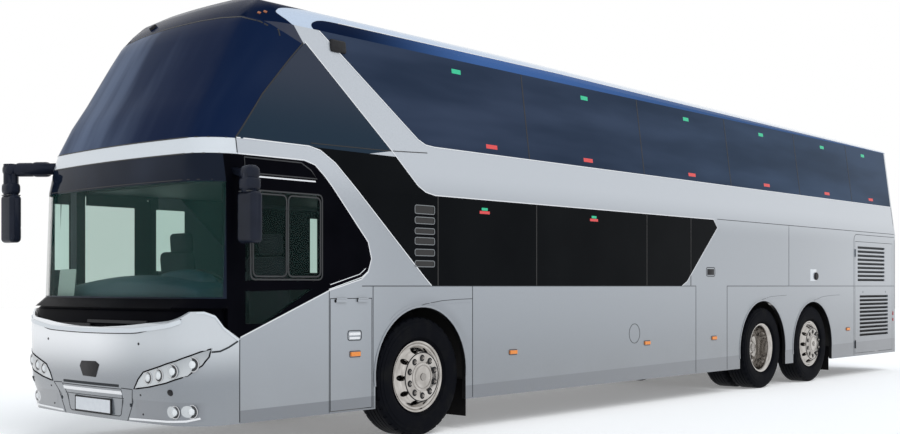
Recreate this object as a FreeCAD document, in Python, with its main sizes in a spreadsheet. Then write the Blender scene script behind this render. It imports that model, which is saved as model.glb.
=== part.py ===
# Double-deck touring coach on three axles.
# +X is forward, +Y is the driver's side (left), +Z is up; Z = 0 is the ground, millimetres.
import FreeCAD, Part
import Sketcher
import math
import os
import re
from FreeCAD import Vector

doc = FreeCAD.newDocument("Coach")

# ---------------------------------------------------------------- driving sizes
# Each row: alias, value. Lengths in mm, angles in degrees.
SIZES = [
    ("tail_x", -6980.5), ("nose_x", 7000), ("half_width", 1275), ("skirt_z", 300),
    ("wall", 45), ("glass_thick", 20), ("panel_gap", 6), ("seat_gap", 0.3), ("side_reach", 1700),
    ("belt_z", 1373), ("waist_z", 2205), ("band_top_z", 2665), ("crown_z", 3925),
    ("glass_top_drop", 375), ("glass_top_half", 1100), ("shoulder_drop", 200), ("shoulder_half", 960),
    ("eave_out", 45), ("eave_drop", 60), ("eave_bend_in", 25), ("eave_bend_rise", 75),
    ("roof_level_x", 2000), ("tail_crown_drop", 95), ("tail_shoulder_drop", 105),
    ("corner_seam_x", 6445), ("bow_half", 1000), ("bow_depth", 60), ("corner_depth", 400),
    ("tail_radius", 90), ("tail_seam", 120), ("pillar_front_x", 6560),
    ("cowl_low_z", 1000), ("cowl_rim_z", 1200), ("cowl_sheet", 20), ("lip_high_z", 1180),
    ("screen_low_z", 1275), ("screen_high_z", 2405), ("band_high_z", 2530),
    ("front_axle_x", 4370), ("drive_axle_x", -2340), ("tag_axle_x", -3820),
    ("tyre_radius", 545), ("tyre_half", 152), ("tyre_face_y", 1245), ("twin_pitch", 330),
    ("rim_radius", 305), ("rim_lip_radius", 325), ("rim_half", 125),
    ("hub_radius", 95), ("hand_hole_radius", 27), ("hand_hole_circle", 246), ("hand_hole_count", 10),
    ("front_arch_radius", 600), ("front_arch_z", 580), ("rear_arch_radius", 650), ("rear_arch_z", 523),
    ("kingpin_y", 880), ("kingpin_radius", 45), ("beam_low_z", 455), ("beam_high_z", 605),
    ("beam_half", 50), ("lug_thick", 36), ("lug_radius", 55), ("brake_radius", 205), ("brake_thick", 80),
    ("front_well_half", 665), ("well_inner_y", 530), ("well_top_z", 1200), ("rear_well_inner_y", 560),
    ("well_sheet", 15), ("notch_room", 25),
    ("floor_low_z", 320), ("floor_thick", 60), ("deck_low_z", 2240), ("deck_thick", 60),
    ("deck_front_gap", 750),
    ("seat_pitch", 800), ("seat_cushion_high", 430), ("seat_back_high", 1080), ("seat_inner_y", 260),
    ("seat_outer_y", 1020), ("seat_depth", 480), ("seat_back_thick", 120), ("seat_back_low", 200),
    ("lower_rows", 5), ("upper_rows", 14), ("lower_first_x", 3150), ("upper_first_x", 4900),
    ("driver_x", 5700), ("driver_y", 560), ("driver_cushion_z", 1030), ("driver_back_high", 610),
    ("wheel_tilt", 35), ("steer_ring_radius", 225), ("steer_ring_wire", 17), ("steer_ring_z", 1370),
    ("dash_rear_x", 6300), ("dash_front_x", 6740), ("dash_low_z", 860), ("dash_high_z", 1230),
    ("engine_long", 1350), ("engine_wide", 780), ("engine_low_z", 390), ("engine_high_z", 1330),
    ("engine_rear_x", -6700), ("rail_inner_y", 410), ("rail_outer_y", 490), ("rail_low_z", 650),
    ("rail_high_z", 800), ("bulkhead_x", -1600), ("rear_floor_z", 1385), ("engine_wall_x", -5270),
    ("wall_sheet", 30), ("drop_low_z", 190),
    ("drop_high_z", 285), ("drop_half", 600), ("axle_tube_radius", 90), ("gear_radius", 190),
    ("drum_radius", 200), ("drum_thick", 170),
    ("hatch_low_z", 380), ("hatch_high_z", 1420), ("hatch_half", 1000),
    ("rear_window_half", 950), ("rear_window_rise", 85), ("rear_window_drop", 100),
    ("flap_front_x", 5500), ("flap_rear_x", 5010), ("flap_high_z", 1270), ("locker_depth", 90),
    ("engine_flap_front_x", -5300), ("engine_flap_rear_x", -6780), ("engine_flap_high_z", 2060),
    ("barrel_radius", 7), ("barrel_long", 120), ("barrel_stand", 5.5),
    ("front_door_rear_x", 5500), ("front_door_front_x", 6385), ("middle_door_rear_x", -1300),
    ("middle_door_front_x", -520), ("door_low_z", 345), ("door_high_z", 2150), ("front_door_high_z", 2330),
    ("door_frame_side", 90), ("door_frame_end", 120),
    ("mirror_y", 1470), ("mirror_wide", 210), ("mirror_deep", 110),
    ("left_mirror_x", 6500), ("right_mirror_x", 6900), ("mirror_cap_radius", 66),
    ("plate_wide", 520), ("plate_high", 110), ("plate_z", 400), ("rear_plate_z", 1235),
    ("proud", 8), ("lamp_inner_y", 1040), ("lamp_outer_y", 1115),
    ("lamp_low_z", 1480), ("lamp_high_z", 2150),
    ("tow_eye_radius", 16), ("tow_boss_radius", 40), ("tow_boss_long", 110), ("tow_eye_y", 520),
    ("tow_eye_z", 430), ("fog_radius", 45), ("marker_long", 110), ("marker_high", 36), ("marker_proud", 14),
    ("louvre_high", 36), ("upper_louvres", 9), ("lower_louvres", 11),
    ("mudflap_low_z", 130), ("mudflap_high_z", 480), ("mudflap_inner_y", 780), ("mudflap_outer_y", 1220),
    ("mudflap_thick", 12),
]
sheet = doc.addObject("Spreadsheet::Sheet", "Sizes")
for row, (alias, value) in enumerate(SIZES, start=1):
    sheet.set("A%d" % row, alias)
    sheet.set("B%d" % row, str(value))
    sheet.setAlias("B%d" % row, alias)
doc.recompute()


class Named:
    """Sizes read from the sheet by name."""

    def __getattr__(self, alias):
        return float(sheet.get(alias))


S = Named()
NAME_ON_SHEET = {alias: "Sizes." + alias for alias, value in SIZES}
BOTH_SIDES = (("left", 1), ("right", -1))
NODES = []


# ---------------------------------------------------------------- ways to make a piece
def keep(made, label):
    """Give the finished object its label and list it for export."""
    made.Label = label
    NODES.append(made)
    return made


def feature(label, shape):
    """A node whose exact shape is worked out by Part's own functions."""
    made = doc.addObject("Part::Feature", label)
    made.Shape = shape
    return keep(made, label)


def on_sheet(text):
    """The same expression with each size's name pointing at its cell."""
    return re.sub(r"[a-z][a-z_0-9]*", lambda word: NAME_ON_SHEET.get(word.group(), word.group()), text)


def bind(target, bindings):
    """Bind each property of the target to an expression written with the sizes' names."""
    for prop, expression in bindings:
        target.setExpression(prop, on_sheet(expression))
    return target


def block(name, low, high):
    """A Part::Box between two corners given as expressions."""
    made = doc.addObject("Part::Box", name)
    for prop, axis, start, end in zip(("Length", "Width", "Height"), "xyz", low, high):
        bind(made, [(prop, "(%s) - (%s)" % (end, start)), ("Placement.Base." + axis, start)])
    return made


def rod(name, radius, length, base, axis="z"):
    """A Part::Cylinder from its base point along x, y or z, all given as expressions."""
    made = doc.addObject("Part::Cylinder", name)
    turn = {"x": (Vector(0, 1, 0), 90), "y": (Vector(1, 0, 0), -90), "z": (Vector(0, 0, 1), 0)}[axis]
    made.Placement = FreeCAD.Placement(Vector(), FreeCAD.Rotation(*turn))
    bind(made, [("Radius", radius), ("Height", length)])
    bind(made, [("Placement.Base." + letter, place) for letter, place in zip("xyz", base)])
    return made


def fused(name, pieces):
    made = doc.addObject("Part::MultiFuse", name)
    made.Shapes = pieces
    return made


def cut(name, base, tool):
    made = doc.addObject("Part::Cut", name)
    made.Base = base
    made.Tool = tool
    return made


probe = doc.addObject("Part::Vertex", "probe")


def value_of(expression):
    """The number that an expression in the sheet's names gives, read from a bound property."""
    bind(probe, [("X", expression)])
    probe.recompute()
    return float(probe.X)


def revolved_body(name, profile):
    """A PartDesign body revolved about its own Y axis.

    Each row of the profile: radius expression, axial expression."""
    body = doc.addObject("PartDesign::Body", name)
    plane = next(f for f in body.Origin.OriginFeatures if f.Role == "XY_Plane")
    sketch = body.newObject("Sketcher::SketchObject", name + "_profile")
    sketch.AttachmentSupport = [(plane, "")]
    sketch.MapMode = "FlatFace"
    corners = [Vector(value_of(radius), value_of(axial), 0) for radius, axial in profile]
    count = len(corners)
    for i in range(count):
        sketch.addGeometry(Part.LineSegment(corners[i], corners[(i + 1) % count]), False)
    for i in range(count):
        sketch.addConstraint(Sketcher.Constraint("Coincident", i, 2, (i + 1) % count, 1))
    for i, (radius, axial) in enumerate(profile):
        for kind, number, expression in (("DistanceX", corners[i].x, radius),
                                         ("DistanceY", corners[i].y, axial)):
            index = sketch.addConstraint(Sketcher.Constraint(kind, -1, 1, i, 1, number))
            bind(sketch, [("Constraints[%d]" % index, expression)])
    turn = body.newObject("PartDesign::Revolution", name + "_turn")
    turn.Profile = sketch
    turn.ReferenceAxis = (sketch, ["V_Axis"])
    turn.Angle = 360
    doc.recompute()
    return body


# ---------------------------------------------------------------- the coach's outer form
glass_top_z = S.crown_z - S.glass_top_drop
shoulder_z = S.crown_z - S.shoulder_drop
# Front profile on the centre plane up to the band. Columns: height, how far behind the nose.
LOWER_NOSE = [
    (S.skirt_z, 60), (S.skirt_z + 160, 50), (S.skirt_z + 260, 12), (S.cowl_low_z, 0), (S.lip_high_z, 15),
    (S.screen_low_z, 135), (S.waist_z, 170), (S.screen_high_z, 200), (S.band_high_z, 230),
]
# Raked profile above it. Columns: share of the height from the band to the crown, how far behind the nose.
UPPER_RAKE = [(0.18, 350), (0.33, 480), (0.47, 590), (0.61, 700), (0.73, 800), (0.82, 910), (0.90, 1030),
              (0.955, 1160), (1.01, 1500)]
rake_high = S.crown_z - S.band_high_z
NOSE = [(z, S.nose_x - back) for z, back in LOWER_NOSE]
NOSE += [(S.band_high_z + share * rake_high, S.nose_x - back) for share, back in UPPER_RAKE]


def above_band(share):
    """A height given as its share of the way from the band to the crown."""
    return S.band_high_z + share * rake_high


def nose_at(z):
    """The nose's place on the centre plane at a height."""
    for (low, low_x), (high, high_x) in zip(NOSE, NOSE[1:]):
        if low <= z <= high:
            return low_x + (high_x - low_x) * (z - low) / (high - low)
    return NOSE[0][1] if z < NOSE[0][0] else NOSE[-1][1]


def half_width_at(z):
    """Half of the width at a height: upright to the waist, then leaning in."""
    lean = (S.half_width - S.glass_top_half) / (glass_top_z - S.waist_z)
    return S.half_width - lean * max(0, z - S.waist_z)


def plan_outline(z, nose, inset):
    """The closed outline at one height, moved in by the inset: bowed nose, round corners, flat sides."""
    side = half_width_at(z)
    bow_y = S.bow_half * side / S.half_width
    reach_x, reach_y = S.corner_depth - S.bow_depth, side - bow_y
    radius = (reach_x ** 2 + reach_y ** 2) / (2 * reach_y)
    centre_x, centre_y = nose - S.corner_depth, side - radius
    end_turn = math.atan2(bow_y - centre_y, reach_x)
    mid_turn = (end_turn + math.pi / 2) / 2
    shoulder_x = centre_x + (radius - inset) * math.cos(end_turn)
    shoulder_y = centre_y + (radius - inset) * math.sin(end_turn)
    bend_x = centre_x + (radius - inset) * math.cos(mid_turn)
    bend_y = centre_y + (radius - inset) * math.sin(mid_turn)
    front, rear, side = nose - inset, S.tail_x + inset, side - inset
    tail = S.tail_radius - inset
    soft = tail * (1 - math.sqrt(0.5))
    return Part.Wire([
        Part.LineSegment(Vector(rear, side - tail, z), Vector(rear, tail - side, z)).toShape(),
        Part.Arc(Vector(rear, tail - side, z), Vector(rear + soft, soft - side, z),
                 Vector(rear + tail, -side, z)).toShape(),
        Part.LineSegment(Vector(rear + tail, -side, z), Vector(centre_x, -side, z)).toShape(),
        Part.Arc(Vector(centre_x, -side, z), Vector(bend_x, -bend_y, z),
                 Vector(shoulder_x, -shoulder_y, z)).toShape(),
        Part.Arc(Vector(shoulder_x, -shoulder_y, z), Vector(front, 0, z),
                 Vector(shoulder_x, shoulder_y, z)).toShape(),
        Part.Arc(Vector(shoulder_x, shoulder_y, z), Vector(bend_x, bend_y, z),
                 Vector(centre_x, side, z)).toShape(),
        Part.LineSegment(Vector(centre_x, side, z), Vector(rear + tail, side, z)).toShape(),
        Part.Arc(Vector(rear + tail, side, z), Vector(rear + soft, side - soft, z),
                 Vector(rear, side - tail, z)).toShape(),
    ])


def roof_line(x, inset, low_z, fall):
    """A section across the coach whose top is the roof; the fall is 1 at the tail and 0 ahead."""
    wide = S.side_reach
    shoulder_fall = fall * S.tail_shoulder_drop
    start = Vector(x, S.glass_top_half + S.eave_out, glass_top_z - S.eave_drop - inset * 0.3)
    bend = Vector(x, S.glass_top_half - S.eave_bend_in - inset * 0.9,
                  glass_top_z + S.eave_bend_rise - inset * 0.6 - shoulder_fall / 2)
    end = Vector(x, S.shoulder_half - inset * 0.4, shoulder_z - inset - shoulder_fall)
    top = Vector(x, 0, S.crown_z - inset - fall * S.tail_crown_drop)
    other = [Vector(x, -p.y, p.z) for p in (start, bend, end)]
    low = low_z - S.wall
    return Part.Wire([
        Part.LineSegment(Vector(x, -wide, low), Vector(x, wide, low)).toShape(),
        Part.LineSegment(Vector(x, wide, low), Vector(x, wide, start.z)).toShape(),
        Part.LineSegment(Vector(x, wide, start.z), start).toShape(),
        Part.Arc(start, bend, end).toShape(),
        Part.Arc(end, top, other[2]).toShape(),
        Part.Arc(other[2], other[1], other[0]).toShape(),
        Part.LineSegment(other[0], Vector(x, -wide, start.z)).toShape(),
        Part.LineSegment(Vector(x, -wide, start.z), Vector(x, -wide, low)).toShape(),
    ])


def body_form(inset, low_z):
    """The coach as one solid, its sides, nose and roof moved in by the inset."""
    heights = [(low_z, NOSE[0][1])] + NOSE[1:]
    stack = Part.makeLoft([plan_outline(z, nose, inset) for z, nose in heights], True, True)
    places = [(S.nose_x + S.wall, 0), (S.roof_level_x, 0), (S.tail_x - S.wall, 1)]
    hall = Part.makeLoft([roof_line(x, inset, low_z, fall) for x, fall in places], True, True)
    return stack.common(hall)


def side_prism(outline, low_y=None, high_y=None):
    """A prism across the coach whose outline is a list of (x, z) points."""
    low_y = -S.side_reach if low_y is None else low_y
    high_y = S.side_reach if high_y is None else high_y
    points = [Vector(x, low_y, z) for x, z in outline]
    return Part.Face(Part.makePolygon(points + points[:1])).extrude(Vector(0, high_y - low_y, 0))


def one_side(outline, side):
    """The same prism, over the left or the right half only."""
    return side_prism(outline, 0, S.side_reach) if side > 0 else side_prism(outline, -S.side_reach, 0)


def box_between(low, high):
    return Part.makeBox(high[0] - low[0], high[1] - low[1], high[2] - low[2], Vector(*low))


def united(shapes):
    return shapes[0].multiFuse(shapes[1:]) if len(shapes) > 1 else shapes[0]


outer = body_form(0, S.skirt_z)
behind_glass = body_form(S.glass_thick, S.skirt_z - 50)
inner = body_form(S.wall, S.skirt_z - 100)
shell = outer.cut(inner)
glazing = outer.cut(behind_glass)

# ---------------------------------------------------------------- outlines on the sides
# Each outline is a list of (x, z) corners. The two silver diagonals are what stays between them.
CAB_WINDOW = [
    (S.corner_seam_x, S.screen_high_z), (5764, S.screen_high_z), (5650, 2375), (5560, 2295), (5059, 1750),
    (5018, 1610), (5059, 1490), (5140, 1428), (5502, 1335), (S.corner_seam_x, 968),
]
# Seam between the upper windscreen and the front quarter glass, from the band up.
SCREEN_SEAM = [(S.corner_seam_x, S.band_high_z), (6147, above_band(0.2725)), (5832, above_band(0.5035)),
               (5660, above_band(0.621))]
FRONT_QUARTER = SCREEN_SEAM + [(5640, above_band(0.634)), (4714, 2577), (5000, S.band_high_z)]
SALOON_BAND = [
    (5700, S.band_high_z), (5577, 2505), (5420, 2414), (5190, 2198), (4336, 1446), (4250, S.belt_z),
    (-190, S.belt_z), (-310, 1429), (-1048, 2106), (-953, S.waist_z), (4200, S.waist_z), (4325, 2232),
    (4420, 2286), (4655, S.band_high_z),
]
UPPER_BAND = [
    (5470, glass_top_z), (4361, 2714), (4264, 2672), (4137, S.band_top_z),
    (S.tail_x + S.tail_seam, S.band_top_z), (S.tail_x + S.tail_seam, glass_top_z),
]
# Upper windscreen as seen from the side: ahead of its seam and below the roof's front edge.
UPPER_SCREEN = SCREEN_SEAM + [
    (5900, above_band(0.683)), (6080, above_band(0.762)), (6150, above_band(0.827)),
    (S.nose_x + S.wall, above_band(0.827)), (S.nose_x + S.wall, S.band_high_z),
]


def ahead_of(x, low_z, high_z):
    """Everything ahead of a vertical plane, between two heights."""
    return box_between((x, -S.side_reach, low_z), (S.nose_x + S.wall, S.side_reach, high_z))


def arch(centre_x, centre_z, radius, side):
    """Cutter for a wheel arch: a round top with upright sides."""
    low_y, high_y = sorted((side * S.kingpin_y, side * S.side_reach))
    top = Part.makeCylinder(radius, high_y - low_y, Vector(centre_x, low_y, centre_z), Vector(0, 1, 0))
    legs = box_between((centre_x - radius, low_y, 0), (centre_x + radius, high_y, centre_z))
    return top.fuse(legs)


ARCHES = [
    (S.front_axle_x, S.front_arch_z, S.front_arch_radius),
    (S.drive_axle_x + 50, S.rear_arch_z, S.rear_arch_radius),
    (S.tag_axle_x, S.rear_arch_z - 10, S.rear_arch_radius - 15),
]
ENGINE_FLAP = ((S.engine_flap_rear_x, S.engine_flap_front_x), (S.skirt_z + 40, S.engine_flap_high_z))
FRONT_FLAP = ((S.flap_rear_x, S.flap_front_x), (S.skirt_z + 15, S.flap_high_z))
DOORS = [
    ("front_door", (S.front_door_rear_x, S.front_door_front_x), (S.door_low_z, S.front_door_high_z)),
    ("middle_door", (S.middle_door_rear_x, S.middle_door_front_x), (S.door_low_z, S.door_high_z)),
]


def opening_in_side(spans, side, gap=0):
    """A box through one side wall, its edges moved in by the gap."""
    (x0, x1), (z0, z1) = spans
    low_y, high_y = sorted((side * S.kingpin_y, side * S.side_reach))
    return box_between((x0 + gap, low_y, z0 + gap), (x1 - gap, high_y, z1 - gap))


# The panels of one side, cut from the shell. The right side has doors where the left has the cab window.
tail_zone = box_between((S.tail_x - S.wall, -S.side_reach, 0),
                        (S.tail_x + S.tail_seam, S.side_reach, glass_top_z))
low_front = ahead_of(S.corner_seam_x, 0, S.band_high_z)
screen_zone = side_prism(UPPER_SCREEN)
roof_zone = box_between((S.tail_x - S.wall, -S.side_reach, glass_top_z),
                        (S.nose_x, S.side_reach, S.crown_z + S.wall)).cut(screen_zone)
for name, side in BOTH_SIDES:
    near, far = sorted((0, side * S.side_reach))
    half = box_between((S.tail_x - S.wall, near, 0), (S.nose_x + S.wall, far, S.crown_z))
    cutters = [one_side(outline, side) for outline in (FRONT_QUARTER, SALOON_BAND, UPPER_BAND)]
    cutters += [arch(x, z, radius, side) for x, z, radius in ARCHES]
    cutters += [opening_in_side(ENGINE_FLAP, side)]
    if side > 0:
        cutters += [one_side(CAB_WINDOW, side), opening_in_side(FRONT_FLAP, side)]
    else:
        cutters += [opening_in_side((xs, zs), side) for door, xs, zs in DOORS]
    wall = shell.common(half).cut(united([tail_zone, low_front, screen_zone, roof_zone] + cutters))
    feature(name + "_side_panel", wall)

# ---------------------------------------------------------------- roof, rear and front panels
feature("roof_shell", shell.common(roof_zone))


def through_tail(half, low_z, high_z):
    """A box through the tail's wall."""
    return box_between((S.tail_x - S.wall, -half, low_z), (S.tail_x + S.tail_seam, half, high_z))


def barrels(axis, places, leaf_low, leaf_high):
    """Hinge barrels along an axis, and the leaf that carries them, in one list."""
    made = [Part.makeCylinder(S.barrel_radius, S.barrel_long, place, axis) for place in places]
    for place in places:
        low = [min(a, b) for a, b in zip(place + leaf_low, place + leaf_high)]
        high = [max(a, b) for a, b in zip(place + leaf_low, place + leaf_high)]
        made.append(box_between(low, high))
    return made


barrel_out = S.barrel_stand + S.barrel_radius
hatch_hole = through_tail(S.hatch_half, S.hatch_low_z, S.hatch_high_z)
rear_window_hole = through_tail(S.rear_window_half, S.band_top_z + S.rear_window_rise,
                                glass_top_z - S.rear_window_drop)
feature("rear_panel", shell.common(tail_zone).cut(united([hatch_hole, rear_window_hole])))
hatch = box_between((S.tail_x, S.panel_gap - S.hatch_half, S.hatch_low_z + S.panel_gap),
                    (S.tail_x + S.wall, S.hatch_half - S.panel_gap, S.hatch_high_z - S.panel_gap))
hatch_places = [Vector(S.tail_x - barrel_out, y, S.hatch_high_z - S.panel_gap)
                for y in (-0.7 * S.hatch_half, 0.7 * S.hatch_half - S.barrel_long)]
hatch_barrels = barrels(Vector(0, 1, 0), hatch_places, Vector(-2, 0, -4 * S.barrel_radius),
                        Vector(barrel_out + 1, S.barrel_long, -2))
feature("engine_hatch", united([hatch] + hatch_barrels))
feature("rear_window", glazing.common(rear_window_hole))

nose_zone = shell.common(low_front)
# Top edge of the bumper's lip as seen from the side: low across the middle, high at the corners.
lip = [(S.corner_seam_x - 10, 955), (6600, 1060), (6670, 1146), (6750, 1178), (6830, 1176), (6880, 1130),
       (6940, 1083), (6975, 1045), (S.nose_x + S.wall, 1035), (S.nose_x + S.wall, 0),
       (S.corner_seam_x - 10, 0)]
lip_zone = side_prism(lip)
HEADLAMP = [(615, 566), (668, 643), (735, 704), (926, 755), (1087, 803), (1180, 845), (1262, 897),
            (1256, 830), (1234, 768), (1161, 688), (998, 631), (807, 592)]
FOG_LAMPS = [(1000, 405), (1130, 413)]
nose_low_x = S.corner_seam_x + 20


def facing_prism(outline, side):
    """A prism along the coach whose outline is a list of (y, z) points on one side."""
    points = [Vector(nose_low_x, side * y, z) for y, z in outline]
    return Part.Face(Part.makePolygon(points + points[:1])).extrude(Vector(S.nose_x - nose_low_x, 0, 0))


lamp_seats = []
for name, side in BOTH_SIDES:
    lamp_seats.append(facing_prism(HEADLAMP, side))
    for y, z in FOG_LAMPS:
        lamp_seats.append(Part.makeCylinder(S.fog_radius, S.nose_x - nose_low_x,
                                            Vector(nose_low_x, side * y, z), Vector(1, 0, 0)))
tow_face_x = nose_at(S.tow_eye_z) - S.bow_depth * (S.tow_eye_y / S.bow_half) ** 2
bosses = []
bores = []
for side in (1, -1):
    start = Vector(tow_face_x - S.tow_boss_long, side * S.tow_eye_y, S.tow_eye_z)
    bosses.append(Part.makeCylinder(S.tow_boss_radius, S.tow_boss_long - S.wall / 2, start, Vector(1, 0, 0)))
    bores.append(Part.makeCylinder(S.tow_eye_radius, S.tow_boss_long + S.wall, start, Vector(1, 0, 0)))
# The bumper is as thick as the wall up to the cowl, and a thin skin where the lip stands ahead of it.
lip_skin = glazing.common(ahead_of(S.corner_seam_x, S.cowl_low_z, S.band_high_z))
nose_panel = nose_zone.common(ahead_of(S.corner_seam_x, 0, S.cowl_low_z)).fuse(lip_skin).common(lip_zone)
feature("front_lamps", Part.makeCompound([nose_panel.common(seat) for seat in lamp_seats]))
feature("front_panel", nose_panel.cut(united(lamp_seats)).fuse(united(bosses)).cut(united(bores)))
behind_cowl = body_form(S.wall + S.cowl_sheet, S.skirt_z - S.wall)
sunk_cowl = body_form(S.wall + S.seat_gap, S.skirt_z).cut(behind_cowl)
feature("front_cowl", united([
    sunk_cowl.common(ahead_of(S.pillar_front_x, S.cowl_low_z - S.wall, S.cowl_rim_z)),
    outer.cut(behind_cowl).common(ahead_of(S.pillar_front_x, S.cowl_rim_z, S.screen_low_z)),
]))
pillar_zone = box_between((S.corner_seam_x, -S.side_reach, S.skirt_z),
                          (S.pillar_front_x, S.side_reach, S.screen_high_z))
feature("windscreen_pillars", nose_zone.common(pillar_zone).cut(lip_zone))
feature("lower_windscreen", glazing.common(ahead_of(S.pillar_front_x, S.screen_low_z, S.screen_high_z)))
feature("front_band", nose_zone.common(ahead_of(S.corner_seam_x, S.screen_high_z, S.band_high_z)))
feature("upper_windscreen", glazing.common(screen_zone))

# ---------------------------------------------------------------- side glass
for label, outline in (("upper_side_glass", UPPER_BAND), ("lower_side_glass", SALOON_BAND),
                       ("front_quarter_glass", FRONT_QUARTER)):
    panes = []
    for name, side in BOTH_SIDES:
        pane = glazing.common(one_side(outline, side))
        if label == "lower_side_glass" and side < 0:
            pane = pane.cut(opening_in_side(DOORS[1][1:], side))
        panes.append(pane)
    feature(label, Part.makeCompound(panes))
cab_frame = shell.common(one_side(CAB_WINDOW, 1))
CAB_PANE = [(6390, 2130), (5605, 2130), (5605, 1415), (6390, 1415)]
CAB_LOW_PANE = [(6390, 1330), (5700, 1345), (6200, 1075), (6390, 1075)]
cab_panes = united([one_side(CAB_PANE, 1), one_side(CAB_LOW_PANE, 1)])
feature("cab_window_frame", cab_frame.cut(cab_panes))
feature("cab_window", glazing.common(cab_panes))

# ---------------------------------------------------------------- doors and flaps
door_panes = []
for door, (x0, x1), (z0, z1) in DOORS:
    leaf = shell.common(opening_in_side(((x0, x1), (z0, z1)), -1, S.seat_gap))
    pane = box_between((x0 + S.door_frame_side, -S.side_reach, z0 + S.door_frame_end),
                       (x1 - S.door_frame_side, -S.kingpin_y, z1 - S.door_frame_end))
    feature(door, leaf.cut(pane))
    door_panes.append(glazing.common(pane))
feature("door_glass", Part.makeCompound(door_panes))
# Louvre blocks on the engine flaps. Columns: front x, rear x, low z, high z, number of slots.
LOUVRES = [(-5400, -6460, 1450, 1985, int(S.upper_louvres)), (-5480, -6600, 600, 1230, int(S.lower_louvres))]
for name, side in BOTH_SIDES:
    flap = shell.common(opening_in_side(ENGINE_FLAP, side, S.panel_gap))
    slots = []
    for front_x, rear_x, low_z, high_z, count in LOUVRES:
        pitch = (high_z - low_z - S.louvre_high) / (count - 1)
        for i in range(count):
            low = low_z + i * pitch
            slots.append(box_between((rear_x, -S.side_reach, low),
                                     (front_x, S.side_reach, low + S.louvre_high)))
    places = [Vector(S.engine_flap_front_x - S.panel_gap, side * (S.half_width + barrel_out), z)
              for z in (S.skirt_z + S.barrel_long, S.engine_flap_high_z - 2 * S.barrel_long)]
    leaves = barrels(Vector(0, 0, 1), places, Vector(-4 * S.barrel_radius, side * 2, 0),
                     Vector(-2, -side * (barrel_out + 1), S.barrel_long))
    feature(name + "_engine_flap", united([flap.cut(Part.makeCompound(slots))] + leaves))
flap_places = [Vector(x, S.half_width + barrel_out, S.flap_high_z - S.panel_gap)
               for x in (S.flap_rear_x + S.barrel_long / 2, S.flap_front_x - 3 * S.barrel_long / 2)]
flap_barrels = barrels(Vector(1, 0, 0), flap_places, Vector(0, 2, -4 * S.barrel_radius),
                       Vector(S.barrel_long, -barrel_out - 1, -2))
flap_sheet = shell.common(opening_in_side(FRONT_FLAP, 1, S.panel_gap))
feature("front_service_flap", united([flap_sheet] + flap_barrels))
# ---------------------------------------------------------------- floors and chassis
def slab(low_z, thick, front_x, rear_x):
    """A flat floor that fills the body's inside between two planes."""
    return inner.common(box_between((rear_x, -S.side_reach, low_z), (front_x, S.side_reach, low_z + thick)))


def well_plates(rear_x, front_x, inner_y, side):
    """Sheets round one wheel well: top, inner wall, rear wall and front wall, butted with a small gap."""
    outer_y = S.half_width - S.wall - S.seat_gap
    top_z, low_z, sheet_t, gap = S.well_top_z, S.floor_low_z, S.well_sheet, S.seat_gap
    plates = [
        ((rear_x - sheet_t, inner_y - sheet_t, top_z), (front_x + sheet_t, outer_y, top_z + sheet_t)),
        ((rear_x - sheet_t, inner_y - sheet_t, low_z), (front_x + sheet_t, inner_y, top_z - gap)),
        ((rear_x - sheet_t, inner_y + gap, low_z), (rear_x, outer_y, top_z - gap)),
        ((front_x, inner_y + gap, low_z), (front_x + sheet_t, outer_y, top_z - gap)),
    ]
    if side < 0:
        plates = [((x0, -y1, z0), (x1, -y0, z1)) for (x0, y0, z0), (x1, y1, z1) in plates]
    return [box_between(low, high) for low, high in plates]


def axle_notch(axle_x, half_long, high_z):
    """Room for an axle where it passes through the inner walls of the wheel wells."""
    return box_between((axle_x - half_long - S.notch_room, -S.side_reach, 0),
                       (axle_x + half_long + S.notch_room, S.side_reach, high_z + S.notch_room))


front_well = (S.front_axle_x - S.front_well_half, S.front_axle_x + S.front_well_half)
rear_well = (S.tag_axle_x - S.rear_arch_radius, S.drive_axle_x + 50 + S.rear_arch_radius)
wells = []
for side in (1, -1):
    wells += well_plates(front_well[0], front_well[1], S.well_inner_y, side)
    wells += well_plates(rear_well[0], rear_well[1], S.rear_well_inner_y, side)
notches = Part.makeCompound([
    axle_notch(S.drive_axle_x, S.axle_tube_radius, S.tyre_radius + S.axle_tube_radius),
    axle_notch(S.tag_axle_x, S.beam_half, S.beam_high_z),
])
feature("wheel_wells", Part.makeCompound([plate.cut(notches) for plate in wells]))

edge = S.well_sheet + S.seat_gap
mid_half = S.well_inner_y - edge
mid_floor = box_between((front_well[0] - edge + S.seat_gap, -mid_half, S.floor_low_z),
                        (front_well[1] + edge - S.seat_gap, mid_half, S.floor_low_z + S.floor_thick))
bulkhead_front = S.bulkhead_x + S.wall_sheet
lower_floor = [
    slab(S.floor_low_z, S.floor_thick, S.nose_x, front_well[1] + edge), mid_floor,
    slab(S.floor_low_z, S.floor_thick, front_well[0] - edge, bulkhead_front + S.seat_gap),
    slab(S.rear_floor_z + S.seat_gap, S.wall, bulkhead_front, S.tail_x),
]
feature("lower_floor", Part.makeCompound(lower_floor))
wall_low_z = S.rear_floor_z + S.wall + 2 * S.seat_gap
locker_y = S.half_width - S.wall - S.seat_gap
# Partitions: ahead of the luggage room, ahead of the engine, and the locker behind the front flap.
feature("bulkheads", Part.makeCompound([
    slab(S.floor_low_z, S.rear_floor_z - S.floor_low_z, bulkhead_front, S.bulkhead_x),
    slab(wall_low_z, S.deck_low_z - S.seat_gap - wall_low_z,
         S.engine_wall_x + S.wall_sheet, S.engine_wall_x),
    box_between((front_well[1] + edge, locker_y - S.locker_depth,
                 S.floor_low_z + S.floor_thick + S.seat_gap),
                (S.flap_front_x + S.wall, locker_y, S.flap_high_z + S.wall)),
]))
feature("upper_floor", slab(S.deck_low_z, S.deck_thick, S.nose_x - S.deck_front_gap, S.tail_x))

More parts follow.
